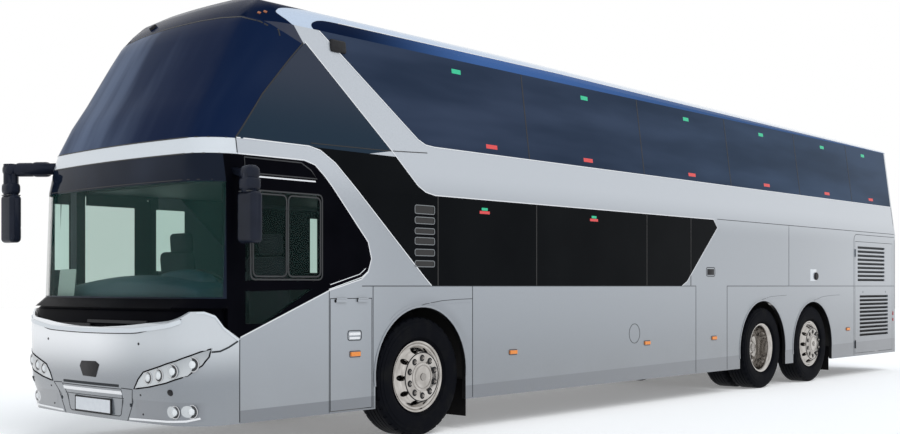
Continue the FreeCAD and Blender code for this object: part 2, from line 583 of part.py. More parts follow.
RAIL_SPAN = {1: ("rail_inner_y", "rail_outer_y"), -1: ("-rail_outer_y", "-rail_inner_y")}
rails = []
for name, side in BOTH_SIDES:
    near, far = RAIL_SPAN[side]
    rails.append(block(name + "_rail", ("tail_x + wall", near, "rail_low_z"),
                       ("bulkhead_x", far, "rail_high_z")))
cross = block("engine_cross", ("engine_rear_x", "-rail_inner_y", "rail_low_z"),
              ("engine_rear_x + 120", "rail_inner_y", "rail_high_z"))
engine = block("engine", ("engine_rear_x + 120", "-engine_wide / 2", "engine_low_z"),
               ("engine_rear_x + 120 + engine_long", "engine_wide / 2", "engine_high_z"))
engine_mounts = block("engine_mounts", ("engine_rear_x + 600", "-rail_inner_y", "rail_low_z"),
                      ("engine_rear_x + 700", "rail_inner_y", "rail_high_z"))
keep(fused("chassis_rails", rails + [cross]), "chassis_rails")
keep(fused("engine_with_mounts", [engine, engine_mounts]), "engine_block")

# ---------------------------------------------------------------- axles, knuckles and hubs
WHEEL_Y = "tyre_face_y - tyre_half"
# Steered axles. Columns: name, place along the coach, what carries the beam from above.
STEERED = [("front", "front_axle_x", "floor_low_z"), ("tag", "tag_axle_x", "rail_low_z")]
for name, axle_x, carrier_z in STEERED:
    beam_parts = [block(name + "_drop", (axle_x + " - beam_half", "-drop_half", "drop_low_z"),
                        (axle_x + " + beam_half", "drop_half", "drop_high_z"))]
    for hand, side in BOTH_SIDES:
        corner = "%s_%s" % (name, hand)
        near, far = ("drop_half - 60", "kingpin_y - kingpin_radius / 2") if side > 0 else (
            "kingpin_radius / 2 - kingpin_y", "60 - drop_half")
        beam_parts.append(block(corner + "_arm", (axle_x + " - beam_half + 10", near, "beam_low_z"),
                                (axle_x + " + beam_half - 10", far, "beam_high_z - 55")))
        low_near, low_far = ("drop_half - 60", "drop_half") if side > 0 else (
            "-drop_half", "60 - drop_half")
        beam_parts.append(block(corner + "_rise", (axle_x + " - beam_half", low_near, "drop_low_z"),
                                (axle_x + " + beam_half", low_far, "beam_high_z - 55")))
        beam_parts.append(rod(corner + "_boss", "kingpin_radius", "beam_high_z - beam_low_z",
                              (axle_x, "%d * kingpin_y" % side, "beam_low_z")))
        post_near, post_far = RAIL_SPAN[side]
        beam_parts.append(block(corner + "_post", (axle_x + " - beam_half", post_near, "drop_high_z"),
                                (axle_x + " + beam_half", post_far, carrier_z)))
    keep(fused(name + "_axle", beam_parts), name + "_axle_beam")

    web_near = "kingpin_y + kingpin_radius + 12"
    web_far = web_near + " + 40"
    knuckle = fused(name + "_knuckle", [
        block(name + "_upper_lug",
              (axle_x + " - lug_radius", "kingpin_y - lug_radius", "beam_high_z + seat_gap"),
              (axle_x + " + lug_radius", web_far, "beam_high_z + seat_gap + lug_thick")),
        block(name + "_lower_lug",
              (axle_x + " - lug_radius", "kingpin_y - 30", "beam_low_z - seat_gap - lug_thick"),
              (axle_x + " + lug_radius", web_far, "beam_low_z - seat_gap")),
        block(name + "_web", (axle_x + " - lug_radius", web_near, "beam_low_z - seat_gap - lug_thick"),
              (axle_x + " + lug_radius", web_far, "beam_high_z + seat_gap + lug_thick")),
        rod(name + "_brake", "brake_radius", "brake_thick", (axle_x, web_far, "tyre_radius"), "y"),
        rod(name + "_hub", "hub_radius", WHEEL_Y + " + 110 - seat_gap - (%s)" % web_near,
            (axle_x, web_near, "tyre_radius"), "y"),
    ])
    keep(knuckle, name + "_knuckle_left")
    mirror = doc.addObject("Part::Mirroring", name + "_knuckle_mirror")
    mirror.Source = knuckle
    mirror.Normal = Vector(0, 1, 0)
    keep(mirror, name + "_knuckle_right")

drive_parts = [
    rod("drive_tube", "axle_tube_radius", "2 * (%s - 165 - seat_gap)" % WHEEL_Y,
        ("drive_axle_x", "165 + seat_gap - (%s)" % WHEEL_Y, "tyre_radius"), "y"),
    rod("drive_gear", "gear_radius", "360", ("drive_axle_x - 180", "0", "tyre_radius"), "x"),
]
for hand, side in BOTH_SIDES:
    drum_y = "%s - 215 - drum_thick" % WHEEL_Y if side > 0 else "215 - (%s)" % WHEEL_Y
    drive_parts.append(rod(hand + "_drum", "drum_radius", "drum_thick",
                           ("drive_axle_x", drum_y, "tyre_radius"), "y"))
    post_near, post_far = RAIL_SPAN[side]
    drive_parts.append(block(hand + "_drive_post", ("drive_axle_x - beam_half", post_near, "tyre_radius"),
                             ("drive_axle_x + beam_half", post_far, "rail_low_z")))
keep(fused("drive_axle_parts", drive_parts), "drive_axle")

# ---------------------------------------------------------------- wheels
# Profiles: radius, place along the axle from the outer tyre's middle plane, outward positive.
TYRE = [
    ("rim_radius + seat_gap", "-rim_half + 24"), ("rim_lip_radius + 4", "-rim_half + 14"),
    ("rim_lip_radius + 35", "-tyre_half + 8"), ("tyre_radius - 115", "-tyre_half"),
    ("tyre_radius - 38", "-tyre_half + 7"), ("tyre_radius - 9", "-tyre_half + 24"),
    ("tyre_radius", "-tyre_half + 46"), ("tyre_radius", "tyre_half - 46"),
    ("tyre_radius - 9", "tyre_half - 24"), ("tyre_radius - 38", "tyre_half - 7"),
    ("tyre_radius - 115", "tyre_half"), ("rim_lip_radius + 35", "tyre_half - 8"),
    ("rim_lip_radius + 4", "rim_half - 14"), ("rim_radius + seat_gap", "rim_half - 24"),
]
SINGLE_RIM = [
    ("0", "110"), ("hub_radius + 60", "110"), ("hub_radius + 65", "rim_half + 40"),
    ("rim_radius - 100", "rim_half + 40"), ("rim_radius - 92", "rim_half + 28"),
    ("rim_radius - 70", "rim_half + 2"), ("rim_radius - 42", "rim_half - 30"),
    ("rim_radius - 30", "rim_half - 45"), ("rim_radius - 30", "-rim_half + 30"),
    ("rim_radius - 5", "-rim_half"), ("rim_lip_radius", "-rim_half"), ("rim_lip_radius", "-rim_half + 12"),
    ("rim_radius", "-rim_half + 22"), ("rim_radius", "-rim_half + 50"), ("rim_radius - 14", "-rim_half + 70"),
    ("rim_radius - 14", "rim_half - 70"), ("rim_radius", "rim_half - 50"), ("rim_radius", "rim_half - 22"),
    ("rim_lip_radius", "rim_half - 12"), ("rim_lip_radius", "rim_half"), ("rim_lip_radius - 12", "rim_half"),
    ("rim_radius - 6", "rim_half - 18"), ("rim_radius - 16", "rim_half - 24"),
    ("rim_radius - 26", "rim_half - 16"), ("rim_radius - 58", "rim_half + 20"),
    ("rim_radius - 80", "rim_half + 50"), ("rim_radius - 88", "rim_half + 55"),
    ("hub_radius + 38", "rim_half + 55"), ("hub_radius + 30", "rim_half + 66"), ("0", "rim_half + 70"),
]
TWIN_RIM = [
    ("0", "-165"), ("rim_radius - 60", "-165"), ("rim_radius - 36", "-200"),
    ("rim_radius - 30", "-twin_pitch - rim_half + 30"), ("rim_radius - 5", "-twin_pitch - rim_half"),
    ("rim_lip_radius", "-twin_pitch - rim_half"), ("rim_lip_radius", "-twin_pitch - rim_half + 12"),
    ("rim_radius", "-twin_pitch - rim_half + 22"), ("rim_radius", "-twin_pitch + rim_half - 22"),
    ("rim_lip_radius", "-twin_pitch + rim_half - 12"), ("rim_lip_radius", "-rim_half + 12"),
    ("rim_radius", "-rim_half + 22"), ("rim_radius", "rim_half - 22"), ("rim_lip_radius", "rim_half - 12"),
    ("rim_lip_radius", "rim_half"), ("rim_lip_radius - 12", "rim_half"),
    ("rim_radius - 20", "rim_half - 26"), ("rim_radius - 30", "-90"), ("rim_radius - 60", "-125"),
    ("hub_radius + 35", "-125"), ("hub_radius + 5", "-120"), ("hub_radius - 5", "-20"),
    ("hub_radius - 40", "5"), ("0", "12"),
]


def with_hand_holes(body, name, plane_role="XZ_Plane"):
    """Round hand holes through the rim's disc, in a ring."""
    plane = next(f for f in body.Origin.OriginFeatures if f.Role == plane_role)
    axis = next(f for f in body.Origin.OriginFeatures if f.Role == "Y_Axis")
    sketch = body.newObject("Sketcher::SketchObject", name + "_hole_sketch")
    sketch.AttachmentSupport = [(plane, "")]
    sketch.MapMode = "FlatFace"
    hole = Part.Circle(Vector(S.hand_hole_circle, 0, 0), Vector(0, 0, 1), S.hand_hole_radius)
    sketch.addGeometry(hole, False)
    rules = [
        (Sketcher.Constraint("Radius", 0, S.hand_hole_radius), "hand_hole_radius"),
        (Sketcher.Constraint("DistanceX", -1, 1, 0, 3, S.hand_hole_circle), "hand_hole_circle"),
    ]
    for rule, expression in rules:
        bind(sketch, [("Constraints[%d]" % sketch.addConstraint(rule), expression)])
    sketch.addConstraint(Sketcher.Constraint("PointOnObject", 0, 3, -1))
    pocket = body.newObject("PartDesign::Pocket", name + "_holes")
    pocket.Profile = sketch
    pocket.Type = 1
    pocket.Midplane = True
    ring = body.newObject("PartDesign::PolarPattern", name + "_ring")
    ring.Originals = [pocket]
    ring.Axis = (axis, [""])
    ring.Angle = 360
    bind(ring, [("Occurrences", "hand_hole_count")])
    body.Tip = ring
    return body


# Columns: name, place along the coach, rim profile, offsets of its tyres along the axle.
AXLES = [
    ("front", "front_axle_x", SINGLE_RIM, ["0"]),
    ("drive", "drive_axle_x", TWIN_RIM, ["0", "-twin_pitch"]),
    ("tag", "tag_axle_x", SINGLE_RIM, ["0"]),
]
for axle, axle_x, rim_profile, tyre_places in AXLES:
    for hand, side in BOTH_SIDES:
        name = "%s_%s" % (axle, hand)
        rim = with_hand_holes(revolved_body(name + "_rim", rim_profile), name + "_rim")
        tyres = []
        for index, place in enumerate(tyre_places):
            tyre = revolved_body("%s_tyre_%d" % (name, index), TYRE)
            bind(tyre, [("Placement.Base.y", place)])
            tyres.append(tyre)
        tyre_set = doc.addObject("Part::Compound", name + "_tyres")
        tyre_set.Links = tyres
        for piece, label in ((rim, name + "_rim"), (tyre_set, name + "_tyre")):
            turn = FreeCAD.Rotation(Vector(0, 0, 1), 0 if side > 0 else 180)
            piece.Placement = FreeCAD.Placement(Vector(), turn)
            bind(piece, [("Placement.Base.x", axle_x), ("Placement.Base.y", "%d * (%s)" % (side, WHEEL_Y)),
                         ("Placement.Base.z", "tyre_radius")])
            keep(piece, label)

# ---------------------------------------------------------------- seats, dashboard and steering wheel
def seat_pair(x, y0, y1, floor_z):
    """A double seat as two closed forms: cushion with its foot, and back."""
    base = box_between((x, y0, floor_z), (x + S.seat_depth, y1, floor_z + S.seat_cushion_high))
    back = box_between((x - S.seat_back_thick, y0, floor_z + S.seat_back_low),
                       (x - S.seat_gap, y1, floor_z + S.seat_back_high))
    return [base, back]


# Seats of the lower and the upper deck. Columns: first row, number of rows, floor height.
SEAT_DECKS = [
    (S.lower_first_x, int(S.lower_rows), S.floor_low_z + S.floor_thick),
    (S.upper_first_x, int(S.upper_rows), S.deck_low_z + S.deck_thick),
]
seats = []
for first_x, rows, floor_z in SEAT_DECKS:
    for row in range(rows):
        for side in (1, -1):
            y0, y1 = sorted((side * S.seat_inner_y, side * S.seat_outer_y))
            seats += seat_pair(first_x - row * S.seat_pitch, y0, y1, floor_z + S.seat_gap)
feature("passenger_seats", Part.makeCompound(seats))

cab_floor_z = S.floor_low_z + S.floor_thick + S.seat_gap
seat_x, seat_y, cushion_z = S.driver_x, S.driver_y, S.driver_cushion_z
back_top_z = cushion_z + S.driver_back_high
driver_seat = united([
    box_between((seat_x - 60, seat_y - 200, cab_floor_z), (seat_x + 300, seat_y + 200, cushion_z - 130)),
    box_between((seat_x - 120, seat_y - 250, cushion_z - 130), (seat_x + 380, seat_y + 250, cushion_z)),
    box_between((seat_x - 200, seat_y - 240, cushion_z - 50), (seat_x - 80, seat_y + 240, back_top_z)),
    box_between((seat_x - 190, seat_y - 130, back_top_z), (seat_x - 100, seat_y + 130, back_top_z + 190)),
])
feature("driver_seat", driver_seat)
dashboard = united([
    box_between((S.dash_rear_x, -980, S.dash_low_z), (S.dash_front_x, 1080, S.dash_high_z)),
    box_between((S.dash_rear_x + 100, -820, cab_floor_z), (S.dash_rear_x + 300, 960, S.dash_low_z)),
    box_between((S.dash_rear_x - 120, seat_y - 330, S.dash_low_z + 140),
                (S.dash_rear_x + 20, seat_y + 330, S.dash_high_z + 40)),
])
feature("dashboard", dashboard)
ring_centre = Vector(seat_x + 430, seat_y, S.steer_ring_z)
ring_axis = FreeCAD.Rotation(Vector(0, 1, 0), -S.wheel_tilt).multVec(Vector(0, 0, 1))
ring = Part.makeTorus(S.steer_ring_radius, S.steer_ring_wire, ring_centre, ring_axis)
hub = Part.makeCylinder(70, 45, ring_centre - ring_axis * 30, ring_axis)
spokes = []
for angle in (20, 160, 270):
    turn = FreeCAD.Rotation(ring_axis, angle)
    along = turn.multVec(FreeCAD.Rotation(Vector(0, 0, 1), ring_axis).multVec(Vector(1, 0, 0)))
    spokes.append(Part.makeCylinder(13, S.steer_ring_radius, ring_centre, along))
column = Part.makeCylinder(32, 320, ring_centre - ring_axis * 330, ring_axis)
feature("steering_wheel", united([ring, hub, column] + spokes).cut(dashboard).Solids[0])

# ---------------------------------------------------------------- mirrors, wipers and small outer pieces
clear_form = body_form(-S.seat_gap, S.skirt_z)
# Mirrors. Columns: side, x, head's low and high z, arm's radius, its height at the head, and
# its root's x, y and z inside the corner.
MIRRORS = [
    (1, S.left_mirror_x, 1700, 2100, 32, 2210, 6470, 1150, 2300),
    (-1, S.right_mirror_x, 1765, 2200, 52, 2425, 6640, 1080, 2430),
]
mirrors = []
for side, mirror_x, low_z, high_z, arm_radius, elbow_z, root_x, root_y, root_z in MIRRORS:
    y = side * S.mirror_y
    half_wide, half_deep = S.mirror_wide / 2, S.mirror_deep / 2
    housing = box_between((mirror_x - half_deep, y - half_wide, low_z),
                          (mirror_x + half_deep, y + half_wide, high_z))
    housing = housing.makeFillet(0.35 * S.mirror_deep, housing.Edges)
    cap = Part.makeCylinder(S.mirror_cap_radius, elbow_z + arm_radius - high_z + 12,
                            Vector(mirror_x, y, high_z - 12), Vector(0, 0, 1))
    root = Vector(root_x, side * root_y, root_z)
    reach = Vector(mirror_x, y, elbow_z) - root
    arm = Part.makeCylinder(arm_radius, reach.Length, root, reach)
    mirrors.append(united([housing, cap, arm]).cut(clear_form))
feature("mirrors", Part.makeCompound(mirrors))

# Wipers lie just ahead of the sunk cowl. Columns: low y, high y, pivot's y, height.
WIPERS = [(-60, 740, 290, 1088), (-900, -20, -120, 1056)]
low_z = S.skirt_z - S.wall
blade_form = body_form(S.wall / 2, S.skirt_z).cut(body_form(S.wall - 8, low_z))
pivot_form = body_form(S.wall / 2, S.skirt_z).cut(body_form(S.wall, low_z))
wipers = []
for low_y, high_y, pivot_y, z in WIPERS:
    blade = blade_form.common(box_between((S.pillar_front_x, low_y, z - 12), (S.nose_x, high_y, z + 12)))
    pivot = Part.makeCylinder(10, S.nose_x - S.pillar_front_x, Vector(S.pillar_front_x, pivot_y, z),
                              Vector(1, 0, 0))
    wipers.append(blade.fuse(pivot.common(pivot_form)))
feature("wipers", Part.makeCompound(wipers))

# Side marker lamps. Columns: x, z.
MARKERS = [(3054, 715), (587, 717), (-965, 722), (-5030, 722), (5214, 790)]
markers = []
for x, z in MARKERS:
    for side in (1, -1):
        low_y, high_y = sorted((side * S.half_width, side * (S.half_width + S.marker_proud)))
        markers.append(box_between((x - S.marker_long / 2, low_y, z - S.marker_high / 2),
                                   (x + S.marker_long / 2, high_y, z + S.marker_high / 2)))
feature("side_markers", Part.makeCompound(markers))

tail_lamps = []
for side in (1, -1):
    low_y, high_y = sorted((side * S.lamp_inner_y, side * S.lamp_outer_y))
    tail_lamps.append(box_between((S.tail_x - S.proud, low_y, S.lamp_low_z),
                                  (S.tail_x, high_y, S.lamp_high_z)))
feature("tail_lamps", Part.makeCompound(tail_lamps))

# The rear plate is bolted to the engine hatch and the front one to the bumper.
plate_x = nose_at(S.plate_z + S.plate_high / 2) + S.seat_gap
PLATES = [
    ("front_number_plate", plate_x, plate_x + S.proud, S.plate_z),
    ("rear_number_plate", S.tail_x - S.proud, S.tail_x, S.rear_plate_z),
]
for name, x0, x1, z in PLATES:
    feature(name, box_between((x0, -S.plate_wide / 2, z - S.plate_high / 2),
                              (x1, S.plate_wide / 2, z + S.plate_high / 2)))

flaps = []
for x in (front_well[0] + S.seat_gap, rear_well[0] + S.seat_gap):
    for side in (1, -1):
        low_y, high_y = sorted((side * S.mudflap_inner_y, side * S.mudflap_outer_y))
        flaps.append(box_between((x, low_y, S.mudflap_low_z),
                                 (x + S.mudflap_thick, high_y, S.mudflap_high_z)))
feature("mudflaps", Part.makeCompound(flaps))

# ---------------------------------------------------------------- export
doc.recompute()
for made in doc.Objects:
    bad = [state for state in made.State if state in ("Invalid", "Error")]
    if bad:
        raise RuntimeError("%s is %s" % (made.Name, bad))
os.makedirs("parts", exist_ok=True)
for node in NODES:
    if not node.Shape.isValid() or not node.Shape.Solids:
        raise RuntimeError("%s has no sound shape" % node.Label)
    node.Shape.exportStep("parts/%s.step" % node.Label)
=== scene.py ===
"""Double-deck touring coach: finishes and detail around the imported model.

Metres, +X forward, +Y to the driver's side, +Z up, ground at Z = 0.
"""

import math

import bmesh
import bpy
from mathutils import Matrix, Vector
from mathutils.bvhtree import BVHTree


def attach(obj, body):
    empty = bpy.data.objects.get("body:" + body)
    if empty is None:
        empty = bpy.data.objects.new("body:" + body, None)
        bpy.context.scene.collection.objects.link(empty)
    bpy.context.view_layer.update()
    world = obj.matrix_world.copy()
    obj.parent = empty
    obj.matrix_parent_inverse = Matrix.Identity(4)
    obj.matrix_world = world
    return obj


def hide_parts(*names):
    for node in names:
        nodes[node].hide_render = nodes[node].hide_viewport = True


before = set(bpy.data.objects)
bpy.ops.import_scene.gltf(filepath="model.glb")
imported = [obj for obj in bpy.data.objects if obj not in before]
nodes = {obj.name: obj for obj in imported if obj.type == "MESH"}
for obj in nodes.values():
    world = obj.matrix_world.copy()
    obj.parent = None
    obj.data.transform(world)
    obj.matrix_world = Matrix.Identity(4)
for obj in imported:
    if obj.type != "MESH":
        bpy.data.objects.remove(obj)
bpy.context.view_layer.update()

# Camera: a long lens at chest height off the coach's front left corner. It is level, so that
# the body's uprights stay upright, and shifted up to hold the roof.
camera_data = bpy.data.cameras.new("camera")
camera_data.sensor_width = 36
camera_data.lens = 46.4
camera_data.shift_y = 0.0767
camera_data.clip_end = 200
camera = bpy.data.objects.new("camera", camera_data)
camera.location = (12.076, 8.527, 1.373)
camera.rotation_euler = (math.radians(90), 0, math.radians(131.9))
bpy.context.collection.objects.link(camera)
scene = bpy.context.scene
scene.camera = camera
scene.view_settings.view_transform = "Standard"


# Stage: a pale floor that takes the shadow, a white surround for camera, gloss and glass, and
# plain overcast light with one broad lamp from above the front corner.
def put(value, socket):
    """Link another socket to a socket, or set it to a number or a linear colour."""
    if isinstance(value, bpy.types.NodeSocket):
        socket.id_data.links.new(value, socket)
    else:
        socket.default_value = (*value, 1) if isinstance(value, tuple) else value


def give(node, **values):
    """Fill a node's sockets by label, with _ for a space."""
    for label, value in values.items():
        put(value, node.inputs[label.replace("_", " ")])


def sum_of(operation, *values):
    """A math node; values are numbers or sockets."""
    tree = next(value for value in values if isinstance(value, bpy.types.NodeSocket)).id_data
    node = tree.nodes.new("ShaderNodeMath")
    node.operation = operation
    for socket, value in zip(node.inputs, values):
        put(value, socket)
    return node.outputs[0]


def new_finish(name, roughness, metallic=0.0, coat=0.0, specular=0.5, **levels):
    """A material and its plain shader."""
    made = bpy.data.materials.new(name)
    made.use_nodes = True
    shader = made.node_tree.nodes["Principled BSDF"]
    give(shader, Roughness=roughness, Metallic=metallic, Coat_Weight=coat, Coat_Roughness=0.04,
         Specular_IOR_Level=specular, **levels)
    return made, shader


def placed(bm, name, finish, smooth=None):
    """Make a modelled form an object; bends below the smooth angle in degrees are shaded soft."""
    mesh = bpy.data.meshes.new(name)
    bm.to_mesh(mesh)
    bm.free()
    mesh.materials.append(finish)
    if smooth is not None:
        mesh.shade_smooth()
        mesh.set_sharp_from_angle(angle=math.radians(smooth))
    made = bpy.data.objects.new(name, mesh)
    bpy.context.collection.objects.link(made)
    return made


world = bpy.data.worlds.new("surround")
scene.world = world
world.use_nodes = True
around = world.node_tree.nodes
around.clear()
rays = around.new("ShaderNodeLightPath").outputs
shows_white = sum_of("MAXIMUM", rays["Is Camera Ray"], rays["Is Glossy Ray"])
surround = around.new("ShaderNodeMixShader")
put(sum_of("MAXIMUM", shows_white, rays["Is Transmission Ray"]), surround.inputs[0])
# Surround: the dim sky that lights the coach, then the white that is seen.
for index, colour, strength in ((1, (0.86, 0.93, 1.0), 0.62), (2, (1, 1, 1), 1.0)):
    light = around.new("ShaderNodeBackground")
    give(light, Color=colour, Strength=strength)
    put(light.outputs[0], surround.inputs[index])
put(surround.outputs[0], around.new("ShaderNodeOutputWorld").inputs[0])

sun = bpy.data.objects.new("overcast_sun", bpy.data.lights.new("overcast_sun", "SUN"))
sun.data.energy = 1.5
sun.data.angle = math.radians(40)
sun.rotation_euler = (math.radians(38), math.radians(12), math.radians(150))
sun.visible_glossy = False
bpy.context.collection.objects.link(sun)

pale_floor = new_finish("pale_floor", 0.9, Base_Color=(0.90, 0.90, 0.90), Emission_Color=(1, 1, 1),
                        Emission_Strength=0.22)[0]
floor_bm = bmesh.new()
bmesh.ops.create_circle(floor_bm, cap_ends=True, segments=64, radius=60)
floor = placed(floor_bm, "floor", pale_floor)
floor.visible_glossy = False


# Side walls, tail and flaps: aluminium and steel sheet, sprayed metallic silver under clear
# lacquer. It has fine flake, a slight orange-peel ripple, and road film towards the skirt,
# where a darker grey band runs the whole length.
def place_of(node, output="Object"):
    """The piece's own coordinates, or another output of that kind, in a node's material."""
    return node.id_data.nodes.new("ShaderNodeTexCoord").outputs[output]


def axes_of(node, output="Object"):
    """The same, split in x, y and z."""
    split = node.id_data.nodes.new("ShaderNodeSeparateXYZ")
    put(place_of(node, output), split.inputs[0])
    return split.outputs


def times(first, second):
    """Product of two values."""
    return sum_of("MULTIPLY", first, second)


def rest_of(share):
    """What a share leaves of one."""
    return sum_of("SUBTRACT", 1.0, share)


def ramp(value, low, high):
    """0 below low, 1 above high, smooth between."""
    node = value.id_data.nodes.new("ShaderNodeMapRange")
    node.interpolation_type = "SMOOTHSTEP"
    give(node, Value=value, From_Min=low, From_Max=high)
    return node.outputs["Result"]


def between(value, low, high, soft):
    """1 from low to high and 0 outside."""
    return times(ramp(value, low - soft, low + soft),
                 rest_of(ramp(value, high - soft, high + soft)))


def speckle(node, scale, detail, stretch=None):
    """Noise over the piece."""
    where = place_of(node)
    if stretch:
        mapping = node.id_data.nodes.new("ShaderNodeMapping")
        mapping.inputs["Scale"].default_value = stretch
        give(mapping, Vector=where)
        where = mapping.outputs["Vector"]
    noise = node.id_data.nodes.new("ShaderNodeTexNoise")
    give(noise, Vector=where, Scale=scale, Detail=detail)
    return noise.outputs["Fac"]


def blend(mask, first, second):
    """First colour where the mask is 0, second where it is 1."""
    mix = mask.id_data.nodes.new("ShaderNodeMix")
    mix.data_type = "RGBA"
    give(mix, Factor=mask, A=first, B=second)
    return mix.outputs["Result"]


def layered(colour, *layers):
    """Lay tones over a colour; a layer is its mask, its strength and its tone."""
    for mask, strength, tone in layers:
        colour = blend(times(mask, strength), colour, tone)
    return colour


def ripple(shader, height, strength, depth):
    """Bump from a height into the shader's normal."""
    bump = shader.id_data.nodes.new("ShaderNodeBump")
    give(bump, Height=height, Strength=strength, Distance=depth)
    give(shader, Normal=bump.outputs["Normal"])


def new_effect(name, output, **inputs):
    """An empty shader group with its inputs' defaults, its input node and its output."""
    group = bpy.data.node_groups.new(name, "ShaderNodeTree")
    for label, default in inputs.items():
        socket = group.interface.new_socket(label.replace("_", " "), in_out="INPUT",
                                            socket_type="NodeSocketFloat")
        socket.default_value = default
    group.interface.new_socket(output, in_out="OUTPUT", socket_type="NodeSocketFloat")
    return group, group.nodes.new("NodeGroupInput"), group.nodes.new("NodeGroupOutput").inputs[0]


# Road film: grey dust that is thickest at the skirt and thins out upwards, in patches.
road_film, film_in, film_out = new_effect("road_film", "Mask", Low=0.3, High=0.9, Patch_Scale=3.0)
film_fall = rest_of(ramp(axes_of(film_in)[2], film_in.outputs["Low"], film_in.outputs["High"]))
put(times(film_fall, speckle(film_in, film_in.outputs["Patch Scale"], 4)), film_out)

# Grain: the fine pebble of moulded plastic, cast metal and rubber, as a height for a bump.
grain, grain_in, grain_out = new_effect("grain", "Height", Scale=400.0, Coarse_Share=0.3)
put(sum_of("MULTIPLY_ADD", speckle(grain_in, 40, 2), grain_in.outputs["Coarse Share"],
           speckle(grain_in, grain_in.outputs["Scale"], 3)), grain_out)


def effect(shader, group, **values):
    """Place a shader group in a material with its own values."""
    node = shader.id_data.nodes.new("ShaderNodeGroup")
    node.node_tree = group
    give(node, **values)
    return node.outputs[0]


def pebble(shader, scale, coarse_share, strength, depth):
    """Give a finish the grain's bump."""
    ripple(shader, effect(shader, grain, Scale=scale, Coarse_Share=coarse_share), strength, depth)


silver, silver_shade = (0.25, 0.275, 0.305), (0.20, 0.22, 0.245)
silver_middle, silver_light = (0.325, 0.352, 0.387), (0.46, 0.49, 0.53)
skirt_grey, dust_grey = (0.155, 0.172, 0.198), (0.20, 0.20, 0.20)
lacquer_noise, lacquer_strength, lacquer_depth = (90, 1), 0.03, 0.0008
nose_joint_x = 6.445
# Arches: centre x, centre z, radius of the opening, end of the flare behind it.
ARCHES = [(4.37, 0.58, 0.60, 3.70), (-2.29, 0.523, 0.65, -2.86), (-3.82, 0.513, 0.635, -4.45)]


def flaked(shader):
    """Silver with its flake, under rippled lacquer."""
    ripple(shader, speckle(shader, *lacquer_noise), lacquer_strength, lacquer_depth)
    return blend(ramp(speckle(shader, 700, 1), 0.35, 0.7), silver_shade, silver)


silver_paint, shader = new_finish("silver_paint", 0.34)
px, py, pz = axes_of(shader)
# Painted light: the silver is coloured lighter higher up the side, at the tail above the belt,
# towards the nose, and most from the waist up.
at_tail = times(ramp(times(px, -1.0), 2.5, 6.5), ramp(pz, 1.0, 1.6))
# The grey band's upper edge rises towards the tail.
band_edge = sum_of("MULTIPLY_ADD", px, -0.0095, 0.462)
on_skirt = times(sum_of("LESS_THAN", pz, band_edge), sum_of("LESS_THAN", px, nose_joint_x))
film = effect(shader, road_film, Low=0.3, High=1.0, Patch_Scale=3.0)
colour = layered(flaked(shader), (ramp(pz, 0.5, 1.5), 0.7, silver_middle),
                 (at_tail, 0.35, silver_light), (ramp(px, 4.6, 5.4), 0.25, silver_light),
                 (ramp(pz, 2.0, 2.45), 1.0, silver_light), (on_skirt, 1.0, skirt_grey),
                 (film, 0.35, dust_grey))
# Soft shade under the flare of each arch.
for arch_x, arch_z, radius, flare_end in ARCHES:
    span_x, span_z = sum_of("SUBTRACT", px, arch_x), sum_of("SUBTRACT", pz, arch_z)
    reach = sum_of("SQRT", sum_of("ADD", times(span_x, span_x), times(span_z, span_z)))
    behind_hub = ramp(times(span_x, -1.0), -0.45, 0.15)
    shade = times(times(rest_of(ramp(reach, 0.62, 0.74)), behind_hub), ramp(span_z, 0.1, 0.5))
    colour = layered(colour, (shade, 0.35, (0.16, 0.17, 0.19)))
# Painted shade: the cut edges round the arches and flaps, turned away from the side, are coloured
# near black for the shadow in the gaps.
cut_edge_shade = sum_of("LESS_THAN", sum_of("ABSOLUTE", axes_of(shader, "Normal")[1]), 0.5)
low_down = times(sum_of("LESS_THAN", pz, 1.36), between(px, -6.4, 6.3, 0.01))
# The cap's navy runs down over the tip of the sheet above the raked corner.
past_tip = sum_of("SUBTRACT", px, sum_of("MULTIPLY_ADD", pz, 0.653, 3.432))
on_tip = times(ramp(past_tip, -0.003, 0.003), sum_of("GREATER_THAN", pz, 3.3))
give(shader, Base_Color=layered(colour, (times(cut_edge_shade, low_down), 1.0, (0.008, 0.008, 0.009)),
                                (on_tip, 1.0, (0.003, 0.009, 0.032))),
     Coat_Weight=rest_of(on_tip), Metallic=times(rest_of(on_tip), 0.35),
     Roughness=sum_of("MULTIPLY_ADD", film, 0.25, 0.30))


def dress(finish, *names):
    """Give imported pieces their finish."""
    for name in names:
        materials = nodes[name].data.materials
        materials.clear()
        materials.append(finish)


def finish_piece(bm, name, finish, body="coach", smooth=None):
    """Turn a modelled piece's faces outwards and add it to a body."""
    bmesh.ops.recalc_face_normals(bm, faces=bm.faces)
    piece = placed(bm, name, finish, smooth)
    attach(piece, body)
    return piece


def fair_copy(node, finish, body="coach", angle=24):
    """A merged copy of a packed panel, soft over its slight bends, that stands for it."""
    bm = bmesh.new()
    bm.from_mesh(nodes[node].data)
    bmesh.ops.remove_doubles(bm, verts=bm.verts, dist=0.00002)
    piece = placed(bm, node + "_fair", finish, angle)
    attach(piece, body)
    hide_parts(node)


PAINTED = ("left_side_panel", "right_side_panel", "rear_panel", "engine_hatch", "left_engine_flap",
           "right_engine_flap", "front_service_flap")
dress(silver_paint, *PAINTED, "middle_door")

# Panel joints: the side sheets meet in narrow dark grooves, and each wheel arch has a rolled
# edge with a faint raised flare over it. They are thin strips laid on the skin.
skin_bm = bmesh.new()
for node in PAINTED + ("front_panel", "front_cowl", "windscreen_pillars", "front_lamps",
                       "lower_windscreen", "front_band", "upper_windscreen", "upper_side_glass",
                       "lower_side_glass", "front_quarter_glass", "cab_window_frame",
                       "cab_window", "front_door", "middle_door", "door_glass", "roof_shell",
                       "rear_window"):
    skin_bm.from_mesh(nodes[node].data)
skin = BVHTree.FromBMesh(skin_bm)
skin_bm.free()


